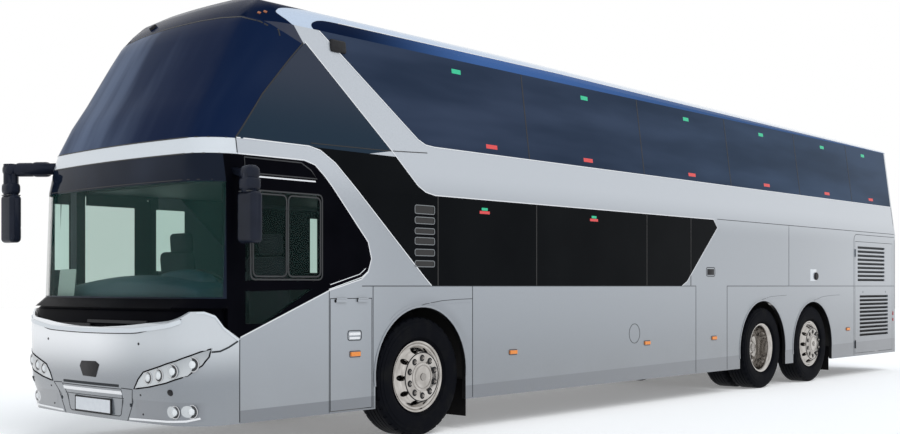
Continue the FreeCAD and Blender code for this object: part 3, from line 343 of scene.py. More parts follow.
def on_side(x, z, side=1):
    """The place and outward normal where the skin is met from one side."""
    return skin.ray_cast(Vector((x, 3 * side, z)), Vector((0, -side, 0)))[:2]


def on_nose(y, z):
    """The same from straight ahead."""
    return skin.ray_cast(Vector((9, y, z)), Vector((-1, 0, 0)))[:2]


def laid(points, step, cast, closed):
    """Places and normals on the skin along a line of flat points, a step apart."""
    spots = []
    for start, end in zip(points, points[1:] + (points[:1] if closed else [])):
        pieces = max(1, round(math.dist(start, end) / step))
        for index in range(pieces):
            share = index / pieces
            spots.append(tuple(a + (b - a) * share for a, b in zip(start, end)))
    if not closed:
        spots.append(points[-1])
    met = [cast(*spot) for spot in spots]
    return [(place, normal) for place, normal in met if place is not None]


def drawn_out(made, moves):
    """Move each point of an extrusion by the step kept for the place it left."""
    for item in made["geom"]:
        if isinstance(item, bmesh.types.BMVert):
            item.co += min(moves, key=lambda move: (move[0] - item.co).length_squared)[1]
    return [item for item in made["geom"] if isinstance(item, bmesh.types.BMFace)]


strip_proud = strip_sunk = 0.0015
BOTH, LEFT = (1, -1), (1,)


def lay_strip(bm, spots, width, proud=strip_proud, closed=False):
    """A flat closed strip along places on the skin."""
    widen, thicken = [], []
    for index, (place, normal) in enumerate(spots):
        last = len(spots) - 1
        before = spots[index - 1 if index or closed else 0][0]
        after = spots[(index + 1) % (last + 1) if index < last or closed else index][0]
        across = normal.cross(after - before).normalized() * width
        start = place + normal * proud - across / 2
        drop = normal * -(proud + strip_sunk)
        widen.append((start, across))
        thicken += [(start, drop), (start + across, drop)]
    chain = [bm.verts.new(start) for start, across in widen]
    pairs = list(zip(chain, chain[1:])) + ([(chain[-1], chain[0])] if closed else [])
    edges = [bm.edges.new(pair) for pair in pairs]
    faces = drawn_out(bmesh.ops.extrude_edge_only(bm, edges=edges), widen)
    drawn_out(bmesh.ops.extrude_face_region(bm, geom=faces), thicken)


def side_strip(bm, line, width, step=0.2, proud=strip_proud, closed=False, sides=BOTH):
    """A strip along (x, z) points of the side walls."""
    for side in sides:
        spots = laid([(x, z, side) for x, z in line], step, on_side, closed)
        lay_strip(bm, spots, width, proud, closed)


def nose_strip(bm, line, width, step=0.1, proud=strip_proud, closed=False, sides=LEFT):
    """A strip along (y, z) points of the front; with both sides it is mirrored too."""
    for side in sides:
        spots = laid([(side * y, z) for y, z in line], step, on_nose, closed)
        lay_strip(bm, spots, width, proud, closed)


def blended(name, tones, roughness, noise=None, film=None, spread=None, grained=None, **levels):
    """A finish of one tone, or of two that a noise (scale, detail, stretch) or road film (low,
    high, patch scale) mixes; spread sharpens the noise, and grained holds the pebble's values."""
    made, shader = new_finish(name, roughness, **levels)
    if film:
        mask = effect(shader, road_film, Low=film[0], High=film[1], Patch_Scale=film[2])
    elif noise:
        mask = speckle(shader, *noise)
    if spread:
        mask = ramp(mask, *spread)
    give(shader, Base_Color=blend(mask, *tones) if len(tones) == 2 else tones[0])
    if grained:
        pebble(shader, *grained)
    return made


def arc(x, z, radius, angles, tall=None):
    """Points round a centre, at angles in degrees; tall is the upright radius if it differs."""
    turns = [math.radians(angle) for angle in angles]
    return [(x + radius * math.cos(a), z + (tall or radius) * math.sin(a)) for a in turns]


# Dark for the panel joints, and for lines of painted shade along folds and creases.
joint_and_shade_dark = blended("joint_and_shade_dark", [(0.035, 0.038, 0.042)], 0.6, grained=(300, 0.2, 0.2, 0.0004),
                     specular=0.1)
groove_width = 0.007
skirt_z, belt_z, waist_z, tail_x = 0.31, 1.373, 2.215, -6.86
# Upright joints: x, low z, high z, walls. Level joints: front x, rear x, z.
UPRIGHTS = [(5.51, skirt_z, 1.335, LEFT), (-0.52, skirt_z, belt_z, LEFT),
            (-1.30, skirt_z, belt_z, LEFT), (4.998, skirt_z, belt_z, BOTH),
            (3.67, skirt_z, belt_z, BOTH), (-5.26, skirt_z, 2.10, BOTH),
            (-3.05, belt_z, 2.21, BOTH), (-6.87, 1.0, 2.66, BOTH)]
LEVELS = [(5.13, -0.52, belt_z), (-1.30, tail_x, belt_z), (-1.05, tail_x, waist_z)]
HATCH_CORNER = [(-5.26, 2.08), (-5.275, 2.13), (-5.33, 2.165), (tail_x, 2.165)]
# Painted shade: dark lines along the folds that spring from each arch and run back, a crisp one
# in front and soft ones behind.
FOLD_SHADE_LINES = [(0.005, [(4.70, 1.075), (4.576, 1.145), (4.45, 1.182), (4.327, 1.209), (4.104, 1.237),
                  (3.90, 1.247), (3.675, 1.252)]),
         (0.003, [(-2.245, 1.190), (-2.485, 1.228), (-2.75, 1.240), (-2.98, 1.245)]),
         (0.003, [(-3.831, 1.163), (-4.167, 1.222), (-4.45, 1.235), (-4.75, 1.242)])]
joints_bm = bmesh.new()
for x, low_z, high_z, sides in UPRIGHTS:
    side_strip(joints_bm, [(x, low_z), (x, high_z)], groove_width, 0.3, sides=sides)
for front_x, rear_x, z in LEVELS:
    side_strip(joints_bm, [(front_x, z), (rear_x, z)], groove_width, 0.5)
side_strip(joints_bm, HATCH_CORNER, groove_width)
for width, line in FOLD_SHADE_LINES:
    side_strip(joints_bm, line, width, 0.1)
finish_piece(joints_bm, "side_joints_and_fold_shade", joint_and_shade_dark)

arch_roll = blended("arch_roll", [(0.27, 0.29, 0.32), (0.16, 0.17, 0.18)], 0.35, film=(0.2, 1.2, 6),
                    metallic=0.3, coat=0.8)
arches_bm = bmesh.new()
for centre_x, centre_z, radius, flare_end in ARCHES:
    rim = arc(centre_x, centre_z, radius + 0.009, range(-20, 201, 6))
    rim = [point for point in rim if point[1] > skirt_z]
    side_strip(arches_bm, rim, 0.018, proud=0.005)
    rise = arc(centre_x, centre_z, radius + 0.05, range(50, 106, 6), radius + 0.045)
    side_strip(arches_bm, rise + [(flare_end, rise[-1][1] + 0.012)], 0.006, proud=0.002)
finish_piece(arches_bm, "arch_rolls", arch_roll, smooth=40)

# Nose: one moulded bumper in the body's silver with a tall lip round the sunk cowl. A dark
# line of painted shade follows under the lip, and dark joints part the bumper's middle from its
# corners.
nose_paint, shader = new_finish("nose_paint", 0.32, 0.35, 1.0)
px, py, pz = axes_of(shader)
# Painted highlight: the nose is coloured lighter towards the top, and paler still high up from the
# middle across to the far side.
nose_highlight = times(ramp(pz, 0.60, 1.0), ramp(times(py, -1.0), -0.75, 0.0))
# Painted shade: a darker patch round the fog lamps for their hollow, and darker towards the
# bottom below the cross joint.
hollow = times(between(sum_of("ABSOLUTE", py), 0.58, 1.215, 0.02), between(pz, 0.335, 0.482, 0.005))
film = effect(shader, road_film, Low=0.28, High=0.8, Patch_Scale=4.0)
give(shader, Base_Color=layered(
    flaked(shader), (ramp(pz, 0.60, 0.98), 1.0, (0.54, 0.57, 0.60)),
    (nose_highlight, 0.75, (0.97, 0.98, 1.0)), (hollow, 0.6, (0.17, 0.185, 0.21)),
    (rest_of(ramp(pz, 0.36, 0.60)), 0.25, (0.24, 0.26, 0.29)), (film, 0.3, dust_grey)))
fair_copy("front_panel", nose_paint)

band_paint, shader = new_finish("band_paint", 0.28, 0.2, 1.0)
give(shader, Base_Color=blend(ramp(speckle(shader, 700, 1), 0.3, 0.7), (0.58, 0.62, 0.66),
                              (0.66, 0.70, 0.735)))
ripple(shader, speckle(shader, *lacquer_noise), lacquer_strength, lacquer_depth)
fair_copy("front_band", band_paint)

# Rolled bead along the lip of the nose panel: its edge as (x, z). Below it a dark line of
# painted shade lies in the crease.
LIP = [(6.45, 0.955), (6.60, 1.060), (6.67, 1.146), (6.75, 1.178), (6.83, 1.176), (6.88, 1.130),
       (6.94, 1.083), (6.975, 1.045), (7.0, 1.035)]


def lip_height(y):
    """Height of the lip's edge above the ground at a place across the nose."""
    x = on_nose(y, 0.93)[0].x
    for (x0, z0), (x1, z1) in zip(LIP, LIP[1:]):
        if x0 <= x <= x1:
            return z0 + (z1 - z0) * (x - x0) / (x1 - x0)
    return LIP[-1][1]


nose_joints_and_crease_shade, lip_bead = bmesh.new(), bmesh.new()
lip_steps = [index * 0.04 - 1.12 for index in range(57)]
nose_strip(lip_bead, [(y, lip_height(y) - 0.021) for y in lip_steps], 0.032, 0.03, 0.008)
side_strip(lip_bead, [(6.80, 1.166), (6.75, 1.166), (6.67, 1.134), (6.60, 1.046), (6.46, 0.950)],
           0.014, 0.03, 0.005)
for line in ([(0.594, 0.561), (0.557, 0.494), (0.538, 0.428), (0.467, 0.301)],
             [(0.594, 0.561), (0.45, 0.564)]):
    nose_strip(nose_joints_and_crease_shade, line, 0.006, 0.05, sides=BOTH)
# Side joints of the nose: width, step, height over the skin, line.
for width, step, proud, line in (
        (0.014, 0.04, strip_proud, [(6.46, 0.945), (6.55, 0.90), (6.63, 0.872), (6.70, 0.868)]),
        (groove_width, 0.2, 0.002, [(6.446, skirt_z), (6.446, 0.955)]),
        (0.008, 0.05, 0.002, [(6.446, 2.415), (6.446, 2.53)])):
    side_strip(nose_joints_and_crease_shade, line, width, step, proud)
# Painted shade: a dark line in the crease under the lip, on both sides.
for side in BOTH:
    crease = [(side * y, lip_height(side * y) - 0.043 * min(1.0, max(0.1, (1.14 - y) / 0.45)))
              for y in lip_steps if 0 <= y < 1.13]
    nose_strip(nose_joints_and_crease_shade, crease, groove_width, 0.03)
finish_piece(nose_joints_and_crease_shade, "nose_joints_and_crease_shade", joint_and_shade_dark)
finish_piece(lip_bead, "lip_bead", band_paint, smooth=40)

# Lower windscreen: one bowed laminated pane, lightly green, bonded in a black frame. Its
# header and its borders are printed black; the cab window and the doors have the same glass.
clear_glass = blended("clear_glass", [(0.006, 0.020, 0.018), (0.022, 0.042, 0.038)], 0.02, (2.5, 3),
                      specular=0.1, Alpha=0.20)
dress(clear_glass, "cab_window")
door_pane = blended("door_pane", [(0.70, 0.88, 0.81), (0.74, 0.92, 0.85)], 0.0, (2.5, 3),
                    Transmission_Weight=1.0)
dress(door_pane, "door_glass")

screen_glass, shader = new_finish("screen_glass", 0.02, specular=0.1)
px, py, pz = axes_of(shader)
away = sum_of("MAXIMUM", times(py, 0.967), times(py, -1.0))
border = sum_of("MAXIMUM", ramp(away, 1.205, 1.213), rest_of(ramp(pz, 1.283, 1.290)))
printed = sum_of("MAXIMUM", ramp(pz, 2.172, 2.186), border)
glass_colour = blend(speckle(shader, 2.5, 3), (0.012, 0.045, 0.040), (0.035, 0.09, 0.078))
header_colour = blend(ramp(speckle(shader, 1.2, 2), 0.35, 0.7), (0.004, 0.008, 0.018),
                      (0.014, 0.020, 0.036))
give(shader, Base_Color=blend(printed, glass_colour, header_colour),
     Alpha=sum_of("MULTIPLY_ADD", printed, 0.78, 0.22))
fair_copy("lower_windscreen", screen_glass)

gloss_tones = [(0.0008, 0.001, 0.002), (0.003, 0.003, 0.005)]
black_gloss, shader = new_finish("black_gloss", 0.25, specular=0.01)
give(shader, Base_Color=blend(speckle(shader, 5, 3), *gloss_tones))
ripple(shader, speckle(shader, 60, 1), 0.03, 0.0006)
fair_copy("front_cowl", black_gloss)
fair_copy("windscreen_pillars", black_gloss)
dress(black_gloss, "front_door")

# Upper windscreen and side glass: navy tinted panes bonded edge to edge. Each pane takes the
# sky in soft streaks, and black sealant fills the joints between panes.
navy_screen, shader = new_finish("navy_screen", 0.05, specular=0.02)
streaks = ramp(speckle(shader, 1.0, 3, (0.25, 2.2, 0.35)), 0.38, 0.66)
give(shader, Base_Color=layered(blend(streaks, (0.010, 0.024, 0.062), (0.100, 0.135, 0.215)),
                                (ramp(axes_of(shader)[1], -0.9, 0.6), 0.85, (0.003, 0.010, 0.038))))
fair_copy("upper_windscreen", navy_screen)

navy_glass, shader = new_finish("navy_glass", 0.05, specular=0.04)
drift = ramp(speckle(shader, 0.8, 3, (0.5, 1.0, 3.0)), 0.3, 0.7)
ahead = blend(drift, (0.014, 0.025, 0.050), (0.032, 0.047, 0.084))
behind = blend(drift, (0.012, 0.030, 0.062), (0.026, 0.052, 0.100))
give(shader, Base_Color=blend(ramp(axes_of(shader)[0], -5.5, 4.5), behind, ahead))
dress(navy_glass, "upper_side_glass", "rear_window")
# Painted reflection: the quarter glass is coloured lighter towards its top.
quarter_glass, shader = new_finish("quarter_glass", 0.05, specular=0.07)
give(shader, Base_Color=blend(ramp(axes_of(shader)[2], 2.6, 3.3), (0.012, 0.026, 0.044),
                              (0.034, 0.042, 0.062)))
dress(quarter_glass, "front_quarter_glass")
black_glass = blended("black_glass", [(0.0015, 0.002, 0.003), (0.006, 0.007, 0.008)], 0.04,
                      (1.5, 3), specular=0.02)
dress(black_glass, "lower_side_glass")

sealant = blended("sealant", [(0.006, 0.006, 0.007)], 0.5, grained=(250, 0.2, 0.2, 0.0004))
glass_joints = bmesh.new()
for width, low_z, high_z, places in ((0.014, 2.668, 3.545, (2.71, 0.55, -1.52, -3.53, -5.33)),
                                     (0.012, 1.378, 2.20, (4.16, 2.67, 0.59, -0.40))):
    for x in places:
        side_strip(glass_joints, [(x, low_z), (x, high_z)], width, 0.3)
# Sealant round the raked corner between the upper windscreen and the quarter glass, and the
# lower joint of the quarter glass, with the step from it to the saloon glass.
side_strip(glass_joints, [(6.445, 2.535), (6.147, 2.917), (5.832, 3.245), (5.66, 3.412)], 0.012,
           0.06)
side_strip(glass_joints, [(5.674, 2.561), (4.775, 2.575), (4.25, 2.60)], 0.008)
for z, width in ((2.533, 0.010), (2.402, 0.010), (2.195, 0.006)):
    nose_strip(glass_joints, [(index * 0.08 - 1.2, z) for index in range(31)], width, 0.08)
half_seam = [(1.113, 3.432), (1.101, 3.483), (1.014, 3.544), (0.847, 3.597), (0.573, 3.628),
             (0.303, 3.64)]
roof_seam = half_seam + [(0, 3.642)] + [(-y, z) for y, z in reversed(half_seam)]
nose_strip(glass_joints, roof_seam, 0.014, 0.05)
finish_piece(glass_joints, "glass_joints", sealant)


# Bright edge: the silver sheets end in a thin polished fold where they meet the dark glass.
def smudged(name, tone, metallic, noise, spread, least):
    """Bright metal that handling has left uneven: its roughness is the least and the spread."""
    made, shader = new_finish(name, least, metallic, Base_Color=tone)
    give(shader, Roughness=sum_of("MULTIPLY_ADD", speckle(shader, *noise), spread, least))
    return made


bright_edge = smudged("bright_edge", (0.78, 0.80, 0.83), 0.7, (30, 3, (0.1, 1, 1)), 0.15, 0.15)
DIAGONAL_INNER = [(6.44, 2.408), (5.764, 2.411), (5.65, 2.38), (5.56, 2.30), (5.059, 1.755),
                  (5.018, 1.61), (5.059, 1.494), (5.14, 1.432), (5.502, 1.339), (6.44, 0.972)]
DIAGONAL_OUTER = [(6.44, 2.535), (5.70, 2.533), (5.577, 2.508), (5.42, 2.414), (5.19, 2.198),
                  (4.336, 1.446), (4.25, 1.376)]
SECOND_LOW = [(5.645, 3.425), (4.714, 2.577), (4.42, 2.286), (4.325, 2.232), (4.20, 2.208),
              (-0.95, 2.208)]
SECOND_HIGH = [(5.47, 3.545), (4.361, 2.714), (4.264, 2.672), (4.137, 2.662), (tail_x, 2.662)]
WINDOW_END = [(-0.953, 2.203), (-1.048, 2.106), (-0.31, 1.429), (-0.19, 1.375)]
edges_bm = bmesh.new()
for line, sides in ((DIAGONAL_OUTER, BOTH), (SECOND_LOW, BOTH), (SECOND_HIGH, BOTH),
                    (DIAGONAL_INNER, LEFT)):
    side_strip(edges_bm, line, 0.009, 0.12, 0.0035, sides=sides)
side_strip(edges_bm, WINDOW_END, 0.008, 0.12, 0.003, sides=LEFT)
finish_piece(edges_bm, "bright_edges", bright_edge, smooth=30)


# Blank tabs stuck inside the glass: green ones near the top and red ones near the bottom.
def block(bm, turn, size, bevel, segments=2):
    """A block with rounded edges, at the place and turn of a matrix."""
    made = bmesh.ops.create_cube(bm, size=1, matrix=turn @ Matrix.Diagonal((*size, 1)))
    edges = {edge for vert in made["verts"] for edge in vert.link_edges}
    bmesh.ops.bevel(bm, geom=list(edges), offset=bevel, segments=segments, affect="EDGES",
                    profile=0.5, material=-1)


def stand_on(bm, spot, size, bevel, up=(0, 0, 1), segments=2):
    """A block on a place and its normal: size runs along the skin, up it and out of it."""
    place, normal = Vector(spot[0]), Vector(spot[1])
    along = Vector(up).cross(normal).normalized()
    turn = Matrix((along, normal.cross(along), normal)).transposed().to_4x4()
    turn.translation = place
    block(bm, turn, size, bevel, segments)


def lens_film(name, light, dark, roughness):
    """Plastic film or lens: two close tones in a fine pattern."""
    return blended(name, [light, dark], roughness, (60, 3), grained=(200, 0.2, 0.08, 0.0003))


green_tab = lens_film("green_tab", (0.02, 0.55, 0.28), (0.015, 0.42, 0.22), 0.4)
red_tab = lens_film("red_tab", (0.75, 0.06, 0.06), (0.60, 0.05, 0.05), 0.4)
tab_thick, tab_bevel = 0.002, 0.0008
# Tabs: z, length, height, places along the side.
GREEN_TABS = [(3.435, 0.13, 0.045, (3.728, 1.611, -0.55, -2.53, -4.47, -5.97)),
              (2.116, 0.09, 0.026, (3.49,)), (2.121, 0.09, 0.026, (1.65,))]
RED_TABS = [(2.742, 0.17, 0.042, (3.30, 1.66, -0.548, -2.53, -4.45, -6.08)),
            (2.084, 0.15, 0.028, (3.49,)), (2.089, 0.15, 0.028, (1.65,))]
for name, finish, slot, tabs in (("green_tabs", green_tab, "amber", GREEN_TABS),
                                 ("red_tabs", red_tab, "red_lens", RED_TABS)):
    tabs_bm = bmesh.new()
    for side in BOTH:
        for z, long, high, places in tabs:
            for x in places:
                stand_on(tabs_bm, on_side(x, z, side), (long, high, tab_thick), tab_bevel)
    finish_piece(tabs_bm, name, finish)


# Intake vents: six small framed slots, moulded in black, let into the glass behind the front
# diagonal.
def rounded_loop(low, high, corner, step=30):
    """Points (x, z) round a box from its low to its high corner, with rounded corners."""
    (x0, z0), (x1, z1) = low, high
    loop = []
    for x, z, turn in ((x1 - corner, z1 - corner, 0), (x0 + corner, z1 - corner, 90),
                       (x0 + corner, z0 + corner, 180), (x1 - corner, z0 + corner, 270)):
        loop += arc(x, z, corner, range(turn, turn + 91, step))
    return loop


vent_frame = blended("vent_frame", [(0.16, 0.17, 0.18)], 0.3, grained=(300, 0.2, 0.1, 0.0003),
                     metallic=0.3, coat=0.4)
vent_x, vent_half = 4.34, 0.13
vents_bm, vent_holes = bmesh.new(), bmesh.new()
for low_z, high_z in ((2.032, 2.108), (1.942, 2.0), (1.848, 1.9), (1.752, 1.814), (1.65, 1.708),
                      (1.549, 1.603)):
    loop = rounded_loop((vent_x - vent_half, low_z), (vent_x + vent_half, high_z), 0.016, 45)
    side_strip(vents_bm, loop, 0.008, 0.1, 0.004, True, LEFT)
    stand_on(vent_holes, on_side(vent_x, (low_z + high_z) / 2),
             (2 * vent_half - 0.02, high_z - low_z - 0.012, 0.003), 0.001)
finish_piece(vents_bm, "vent_frames", vent_frame, smooth=30)
finish_piece(vent_holes, "vent_meshes", sealant)


# Roof: sheet over hoops, silver from the diagonals back. The cap above the upper windscreen and
# the strip over the side glass are navy; the silver's rounded front edge sweeps down to the sides.
def curve_of(value, points):
    """A smooth curve through (0 to 1, 0 to 1) points."""
    node = value.id_data.nodes.new("ShaderNodeFloatCurve")
    line = node.mapping.curves[0]
    line.points[0].location, line.points[1].location = points[0], points[-1]
    for point in points[1:-1]:
        line.points.new(*point)
    node.mapping.update()
    give(node, Value=value)
    return node.outputs[0]


roof_paint, shader = new_finish("roof_paint", 0.20, specular=0.02)
px, py, pz = axes_of(shader)
# The roof falls slightly to the tail, and its marks fall with it.
roof_fall, fall_start = 0.0117, 2.0
fall = times(sum_of("MAXIMUM", sum_of("SUBTRACT", fall_start, px), 0.0), roof_fall)
level_z = sum_of("ADD", pz, fall)
curve_in = times(sum_of("SUBTRACT", level_z, 3.4), 2.5)
# Front edge of the silver and the tip of the navy strip: height against place along the roof.
front_edge = curve_of(curve_in, [
    (0.0, 0.60), (0.07, 0.645), (0.305, 0.719), (0.4475, 0.815), (0.55, 0.875), (0.61, 0.891),
    (0.6825, 0.864), (0.7475, 0.796), (0.825, 0.651), (1.0, 0.30)])
strip_tip = curve_of(curve_in, [
    (0.0, 0.40), (0.3, 0.453), (0.35, 0.515), (0.4575, 0.553), (0.5525, 0.505), (0.63, 0.395),
    (0.655, 0.232), (0.66, 0.0), (1.0, 0.0)])
run_x = sum_of("SUBTRACT", px, 5.0)
in_silver, in_tip = (ramp(sum_of("SUBTRACT", edge, run_x), -0.004, 0.004)
                     for edge in (front_edge, strip_tip))
in_strip = times(in_tip, sum_of("LESS_THAN", level_z, 3.664))
silver_share = times(in_silver, rest_of(in_strip))
sky_blue = blend(ramp(px, -2.0, 3.0), (0.035, 0.085, 0.21), (0.045, 0.11, 0.29))
navy = blend(ramp(px, 3.2, 5.2), sky_blue, (0.002, 0.008, 0.030))
silver_tone = blend(ramp(speckle(shader, 700, 1), 0.3, 0.7), (0.44, 0.52, 0.64),
                    (0.50, 0.58, 0.70))
give(shader, Base_Color=blend(silver_share, navy, silver_tone), Coat_Weight=silver_share)
ripple(shader, speckle(shader, 60, 1), 0.03, 0.0008)
fair_copy("roof_shell", roof_paint)

rail_bm = bmesh.new()
side_strip(rail_bm, [(5.2, 3.662), (fall_start, 3.662), (-6.95, 3.557)], 0.012, 0.6, 0.004)
finish_piece(rail_bm, "roof_rails", bright_edge, smooth=30)

# Roof fittings: amber marker lamps and a small washer nub on the cap, and a camera pod on each
# side strip.
lamp_amber = lens_film("lamp_amber", (0.85, 0.28, 0.04), (0.70, 0.20, 0.03), 0.25)
cap_amber = lens_film("cap_amber", (0.38, 0.13, 0.05), (0.26, 0.08, 0.03), 0.3)
moulded_black, shader = new_finish("moulded_black", 0.45, specular=0.15)
give(shader, Base_Color=blend(effect(shader, grain, Scale=30.0, Coarse_Share=0.5),
                              (0.006, 0.006, 0.007), (0.022, 0.022, 0.024)))
pebble(shader, 500, 0.3, 0.25, 0.0004)


def on_top(x, y):
    """The place and outward normal where the skin is met from above."""
    return skin.ray_cast(Vector((x, y, 6)), Vector((0, 0, -1)))[:2]


roof_lamps, roof_pods = bmesh.new(), bmesh.new()
for side in BOTH:
    for x, y in ((6.005, 0.965), (5.965, 0.995)):
        stand_on(roof_lamps, on_top(x, side * y), (0.022, 0.030, 0.014), 0.004, (0, 1, 0.01))
    stand_on(roof_pods, on_side(5.27, 3.44, side), (0.18, 0.11, 0.05), 0.02, segments=3)
stand_on(roof_pods, on_top(6.02, -0.53), (0.05, 0.07, 0.05), 0.012, (1, 0, 0.01), 3)
finish_piece(roof_lamps, "roof_lamps", cap_amber)
finish_piece(roof_pods, "roof_pods", moulded_black, smooth=35)

# Cab window: a steel frame in gloss black round one fixed pane with a slider, and a blank
# recess above it for a side panel of the destination sign. A polished strip closes its sill.
frame_black = blended("frame_black", gloss_tones, 0.18, (4, 2), specular=0.01)
dress(frame_black, "cab_window_frame")
seal_grey = blended("seal_grey", [(0.018, 0.020, 0.023)], 0.4, grained=(300, 0.2, 0.15, 0.0004))
cab_lines, cab_bright = bmesh.new(), bmesh.new()
# Seals of the frame, the fixed pane and the slider: low corner, high corner.
for low, high in (((5.59, 1.425), (6.34, 2.13)), ((5.61, 1.45), (5.955, 2.105)),
                  ((5.975, 1.45), (6.315, 2.105))):
    side_strip(cab_lines, rounded_loop(low, high, 0.04), 0.012, 0.2, 0.004, True, LEFT)
side_strip(cab_lines, [(6.385, 2.385), (5.80, 2.385), (5.70, 2.33), (5.64, 2.262), (6.385, 2.262)],
           0.010, 0.2, 0.004, True, LEFT)
# Strips: width, step, line.
for width, step, line in (
        (0.012, 0.2, [(6.385, 2.238), (5.66, 2.238)]),
        (0.007, 0.1, [(5.515, 1.345), (5.135, 1.448), (5.06, 1.50), (5.035, 1.56)]),
        (0.006, 0.1, [(5.50, 1.385), (5.16, 1.475), (5.09, 1.525)])):
    side_strip(cab_bright, line, width, step, 0.004, sides=LEFT)
finish_piece(cab_lines, "cab_window_seals", seal_grey, smooth=30)
finish_piece(cab_bright, "cab_window_strips", bright_edge, smooth=30)

# Headlamps: a clear moulded cover over four round lamps in bowls, and two fog lamps below in
# the bumper's hollow. The bowls are coloured dark as painted shade round each lamp and the
# lenses pale as a painted glint; the cover is grey in soft streaks, lighter low down.
lamp_cover, shader = new_finish("lamp_cover", 0.12, 0.4, 1.0)
low_down = times(ramp(axes_of(shader)[2], 0.92, 0.60), 0.6)
cover_tone = sum_of("MULTIPLY_ADD", speckle(shader, 8, 2, (1, 1, 0.3)), 0.5, low_down)
give(shader, Base_Color=blend(cover_tone, (0.22, 0.24, 0.26), (0.62, 0.65, 0.67)))
dress(lamp_cover, "front_lamps")
chrome = smudged("chrome", (0.55, 0.56, 0.58), 1.0, (25, 3), 0.12, 0.03)
lens_glass = blended("lens_glass", [(0.60, 0.63, 0.65), (0.90, 0.92, 0.93)], 0.05,
                     (80, 2, (1, 1, 0.2)), metallic=0.1, coat=1.0)
lamp_bowl = blended("lamp_bowl", [(0.02, 0.022, 0.025), (0.09, 0.095, 0.10)], 0.18, (60, 2),
                    metallic=0.8)


def turned(bm, profile, spot, steps=24):
    """Spin (radius, distance along the axis) points into a round form on a place and its axis."""
    before = set(bm.verts)
    chain = [bm.verts.new((radius, 0, along)) for radius, along in profile]
    edges = [bm.edges.new(pair) for pair in zip(chain, chain[1:])]
    bmesh.ops.spin(bm, geom=chain + edges, cent=(0, 0, 0), axis=(0, 0, 1), angle=2 * math.pi,
                   steps=steps, use_merge=True)
    made = [vert for vert in bm.verts if vert not in before]
    bmesh.ops.remove_doubles(bm, verts=made, dist=0.000001)
    made = [vert for vert in bm.verts if vert not in before]
    turn = Vector((0, 0, 1)).rotation_difference(Vector(spot[1])).to_matrix().to_4x4()
    turn.translation = spot[0]
    bmesh.ops.transform(bm, matrix=turn, verts=made)


# Round lamps and fog lamps: y, z, radius.
LAMPS = [(0.789, 0.662, 0.052), (0.915, 0.686, 0.055), (1.055, 0.722, 0.058), (1.185, 0.775, 0.060),
         (1.035, 0.405, 0.053), (1.155, 0.413, 0.056)]
LENS_EDGE = [(0.615, 0.566), (0.668, 0.643), (0.735, 0.704), (0.926, 0.755), (1.087, 0.803),
             (1.180, 0.845), (1.258, 0.893), (1.252, 0.830), (1.230, 0.768), (1.161, 0.688),
             (0.998, 0.631), (0.807, 0.592)]
# Ring, bowl and lens of a lamp: shares of its radius, and distances along its axis.
LAMP_PARTS = [
    ("lamp_rings", chrome, [(0, -0.004), (1, -0.004), (1, 0.002), (0.93, 0.006), (0.85, 0.003),
                            (0.80, -0.002), (0, -0.002)]),
    ("lamp_bowls", lamp_bowl, [(0, -0.003), (0.81, -0.003), (0.81, 0.0015), (0.5, -0.001),
                               (0, -0.001)]),
    ("lamp_lenses", lens_glass, [(0, -0.002), (0.50, -0.002), (0.48, 0.004), (0.30, 0.009),
                                 (0, 0.011)])]
lean_forward = Vector((0.8, 0, 0))
for name, finish, profile in LAMP_PARTS:
    parts_bm = bmesh.new()
    for side in BOTH:
        for y, z, radius in LAMPS:
            place, normal = on_nose(side * y, z)
            turned(parts_bm, [(share * radius, along) for share, along in profile],
                   (place, normal + lean_forward))
    finish_piece(parts_bm, name, finish, smooth=35)
lens_seals = bmesh.new()
for side in BOTH:
    edge = laid([(side * y, z) for y, z in LENS_EDGE], 0.04, on_nose, True)
    lay_strip(lens_seals, [spot for spot in edge if spot[0].x > 6.45], 0.011, 0.003, closed=True)
finish_piece(lens_seals, "lamp_seals", frame_black, smooth=35)

# Bumper fittings: a black cover for the distance sensor, small round sensors, the cross slot,
# the recess round the plate, and the bright fold of the lower lip.
sensor_bm, bumper_lines, bumper_lip = bmesh.new(), bmesh.new(), bmesh.new()
COVER = [(-0.111, 0.76), (0.104, 0.765), (0.157, 0.738), (0.101, 0.634), (-0.088, 0.638),
         (-0.138, 0.718)]
cover_x = on_nose(0.0, 0.70)[0].x - 0.003
cover_face = sensor_bm.faces.new([sensor_bm.verts.new((cover_x, y, z)) for y, z in COVER])
raised = bmesh.ops.extrude_face_region(sensor_bm, geom=[cover_face])["geom"]
raised = [item for item in raised if isinstance(item, bmesh.types.BMVert)]
bmesh.ops.translate(sensor_bm, verts=raised, vec=(0.006, 0, 0))
bmesh.ops.bevel(sensor_bm, geom=list(sensor_bm.edges), offset=0.0018, segments=2, affect="EDGES",
                profile=0.5, material=-1)
for side in BOTH:
    for y, z, radius in ((1.032, 0.557, 0.026), (0.676, 0.521, 0.008), (0.670, 0.367, 0.008),
                         (0.685, 0.922, 0.011)):
        turned(sensor_bm, [(0, -0.003), (radius, -0.003), (radius, 0.001), (radius * 0.85, 0.003),
                           (0, 0.0035)], on_nose(side * y, z), 20)
finish_piece(sensor_bm, "bumper_sensors", moulded_black, smooth=35)
plate_recess = [(0.445, 0.556), (0.44, 0.535), (0.385, 0.345), (0.36, 0.333)]
plate_recess += [(-y, z) for y, z in reversed(plate_recess)]
nose_strip(bumper_lines, [(0.42, 0.580), (-0.42, 0.580)], 0.022, proud=0.001)
nose_strip(bumper_lines, plate_recess, 0.006, 0.06, closed=True)
nose_strip(bumper_lines, [(0.44, 0.478), (-0.44, 0.478)], 0.005)
finish_piece(bumper_lines, "bumper_lines", joint_and_shade_dark)
nose_strip(bumper_lip, [(0.50, 0.322), (0.70, 0.326), (0.95, 0.330), (1.12, 0.340), (1.20, 0.362)],
           0.016, 0.06, 0.006, sides=BOTH)
nose_strip(bumper_lip, [(0.44, 0.525), (-0.44, 0.525)], 0.03, proud=0.004)
finish_piece(bumper_lip, "bumper_lips", bright_edge, smooth=40)

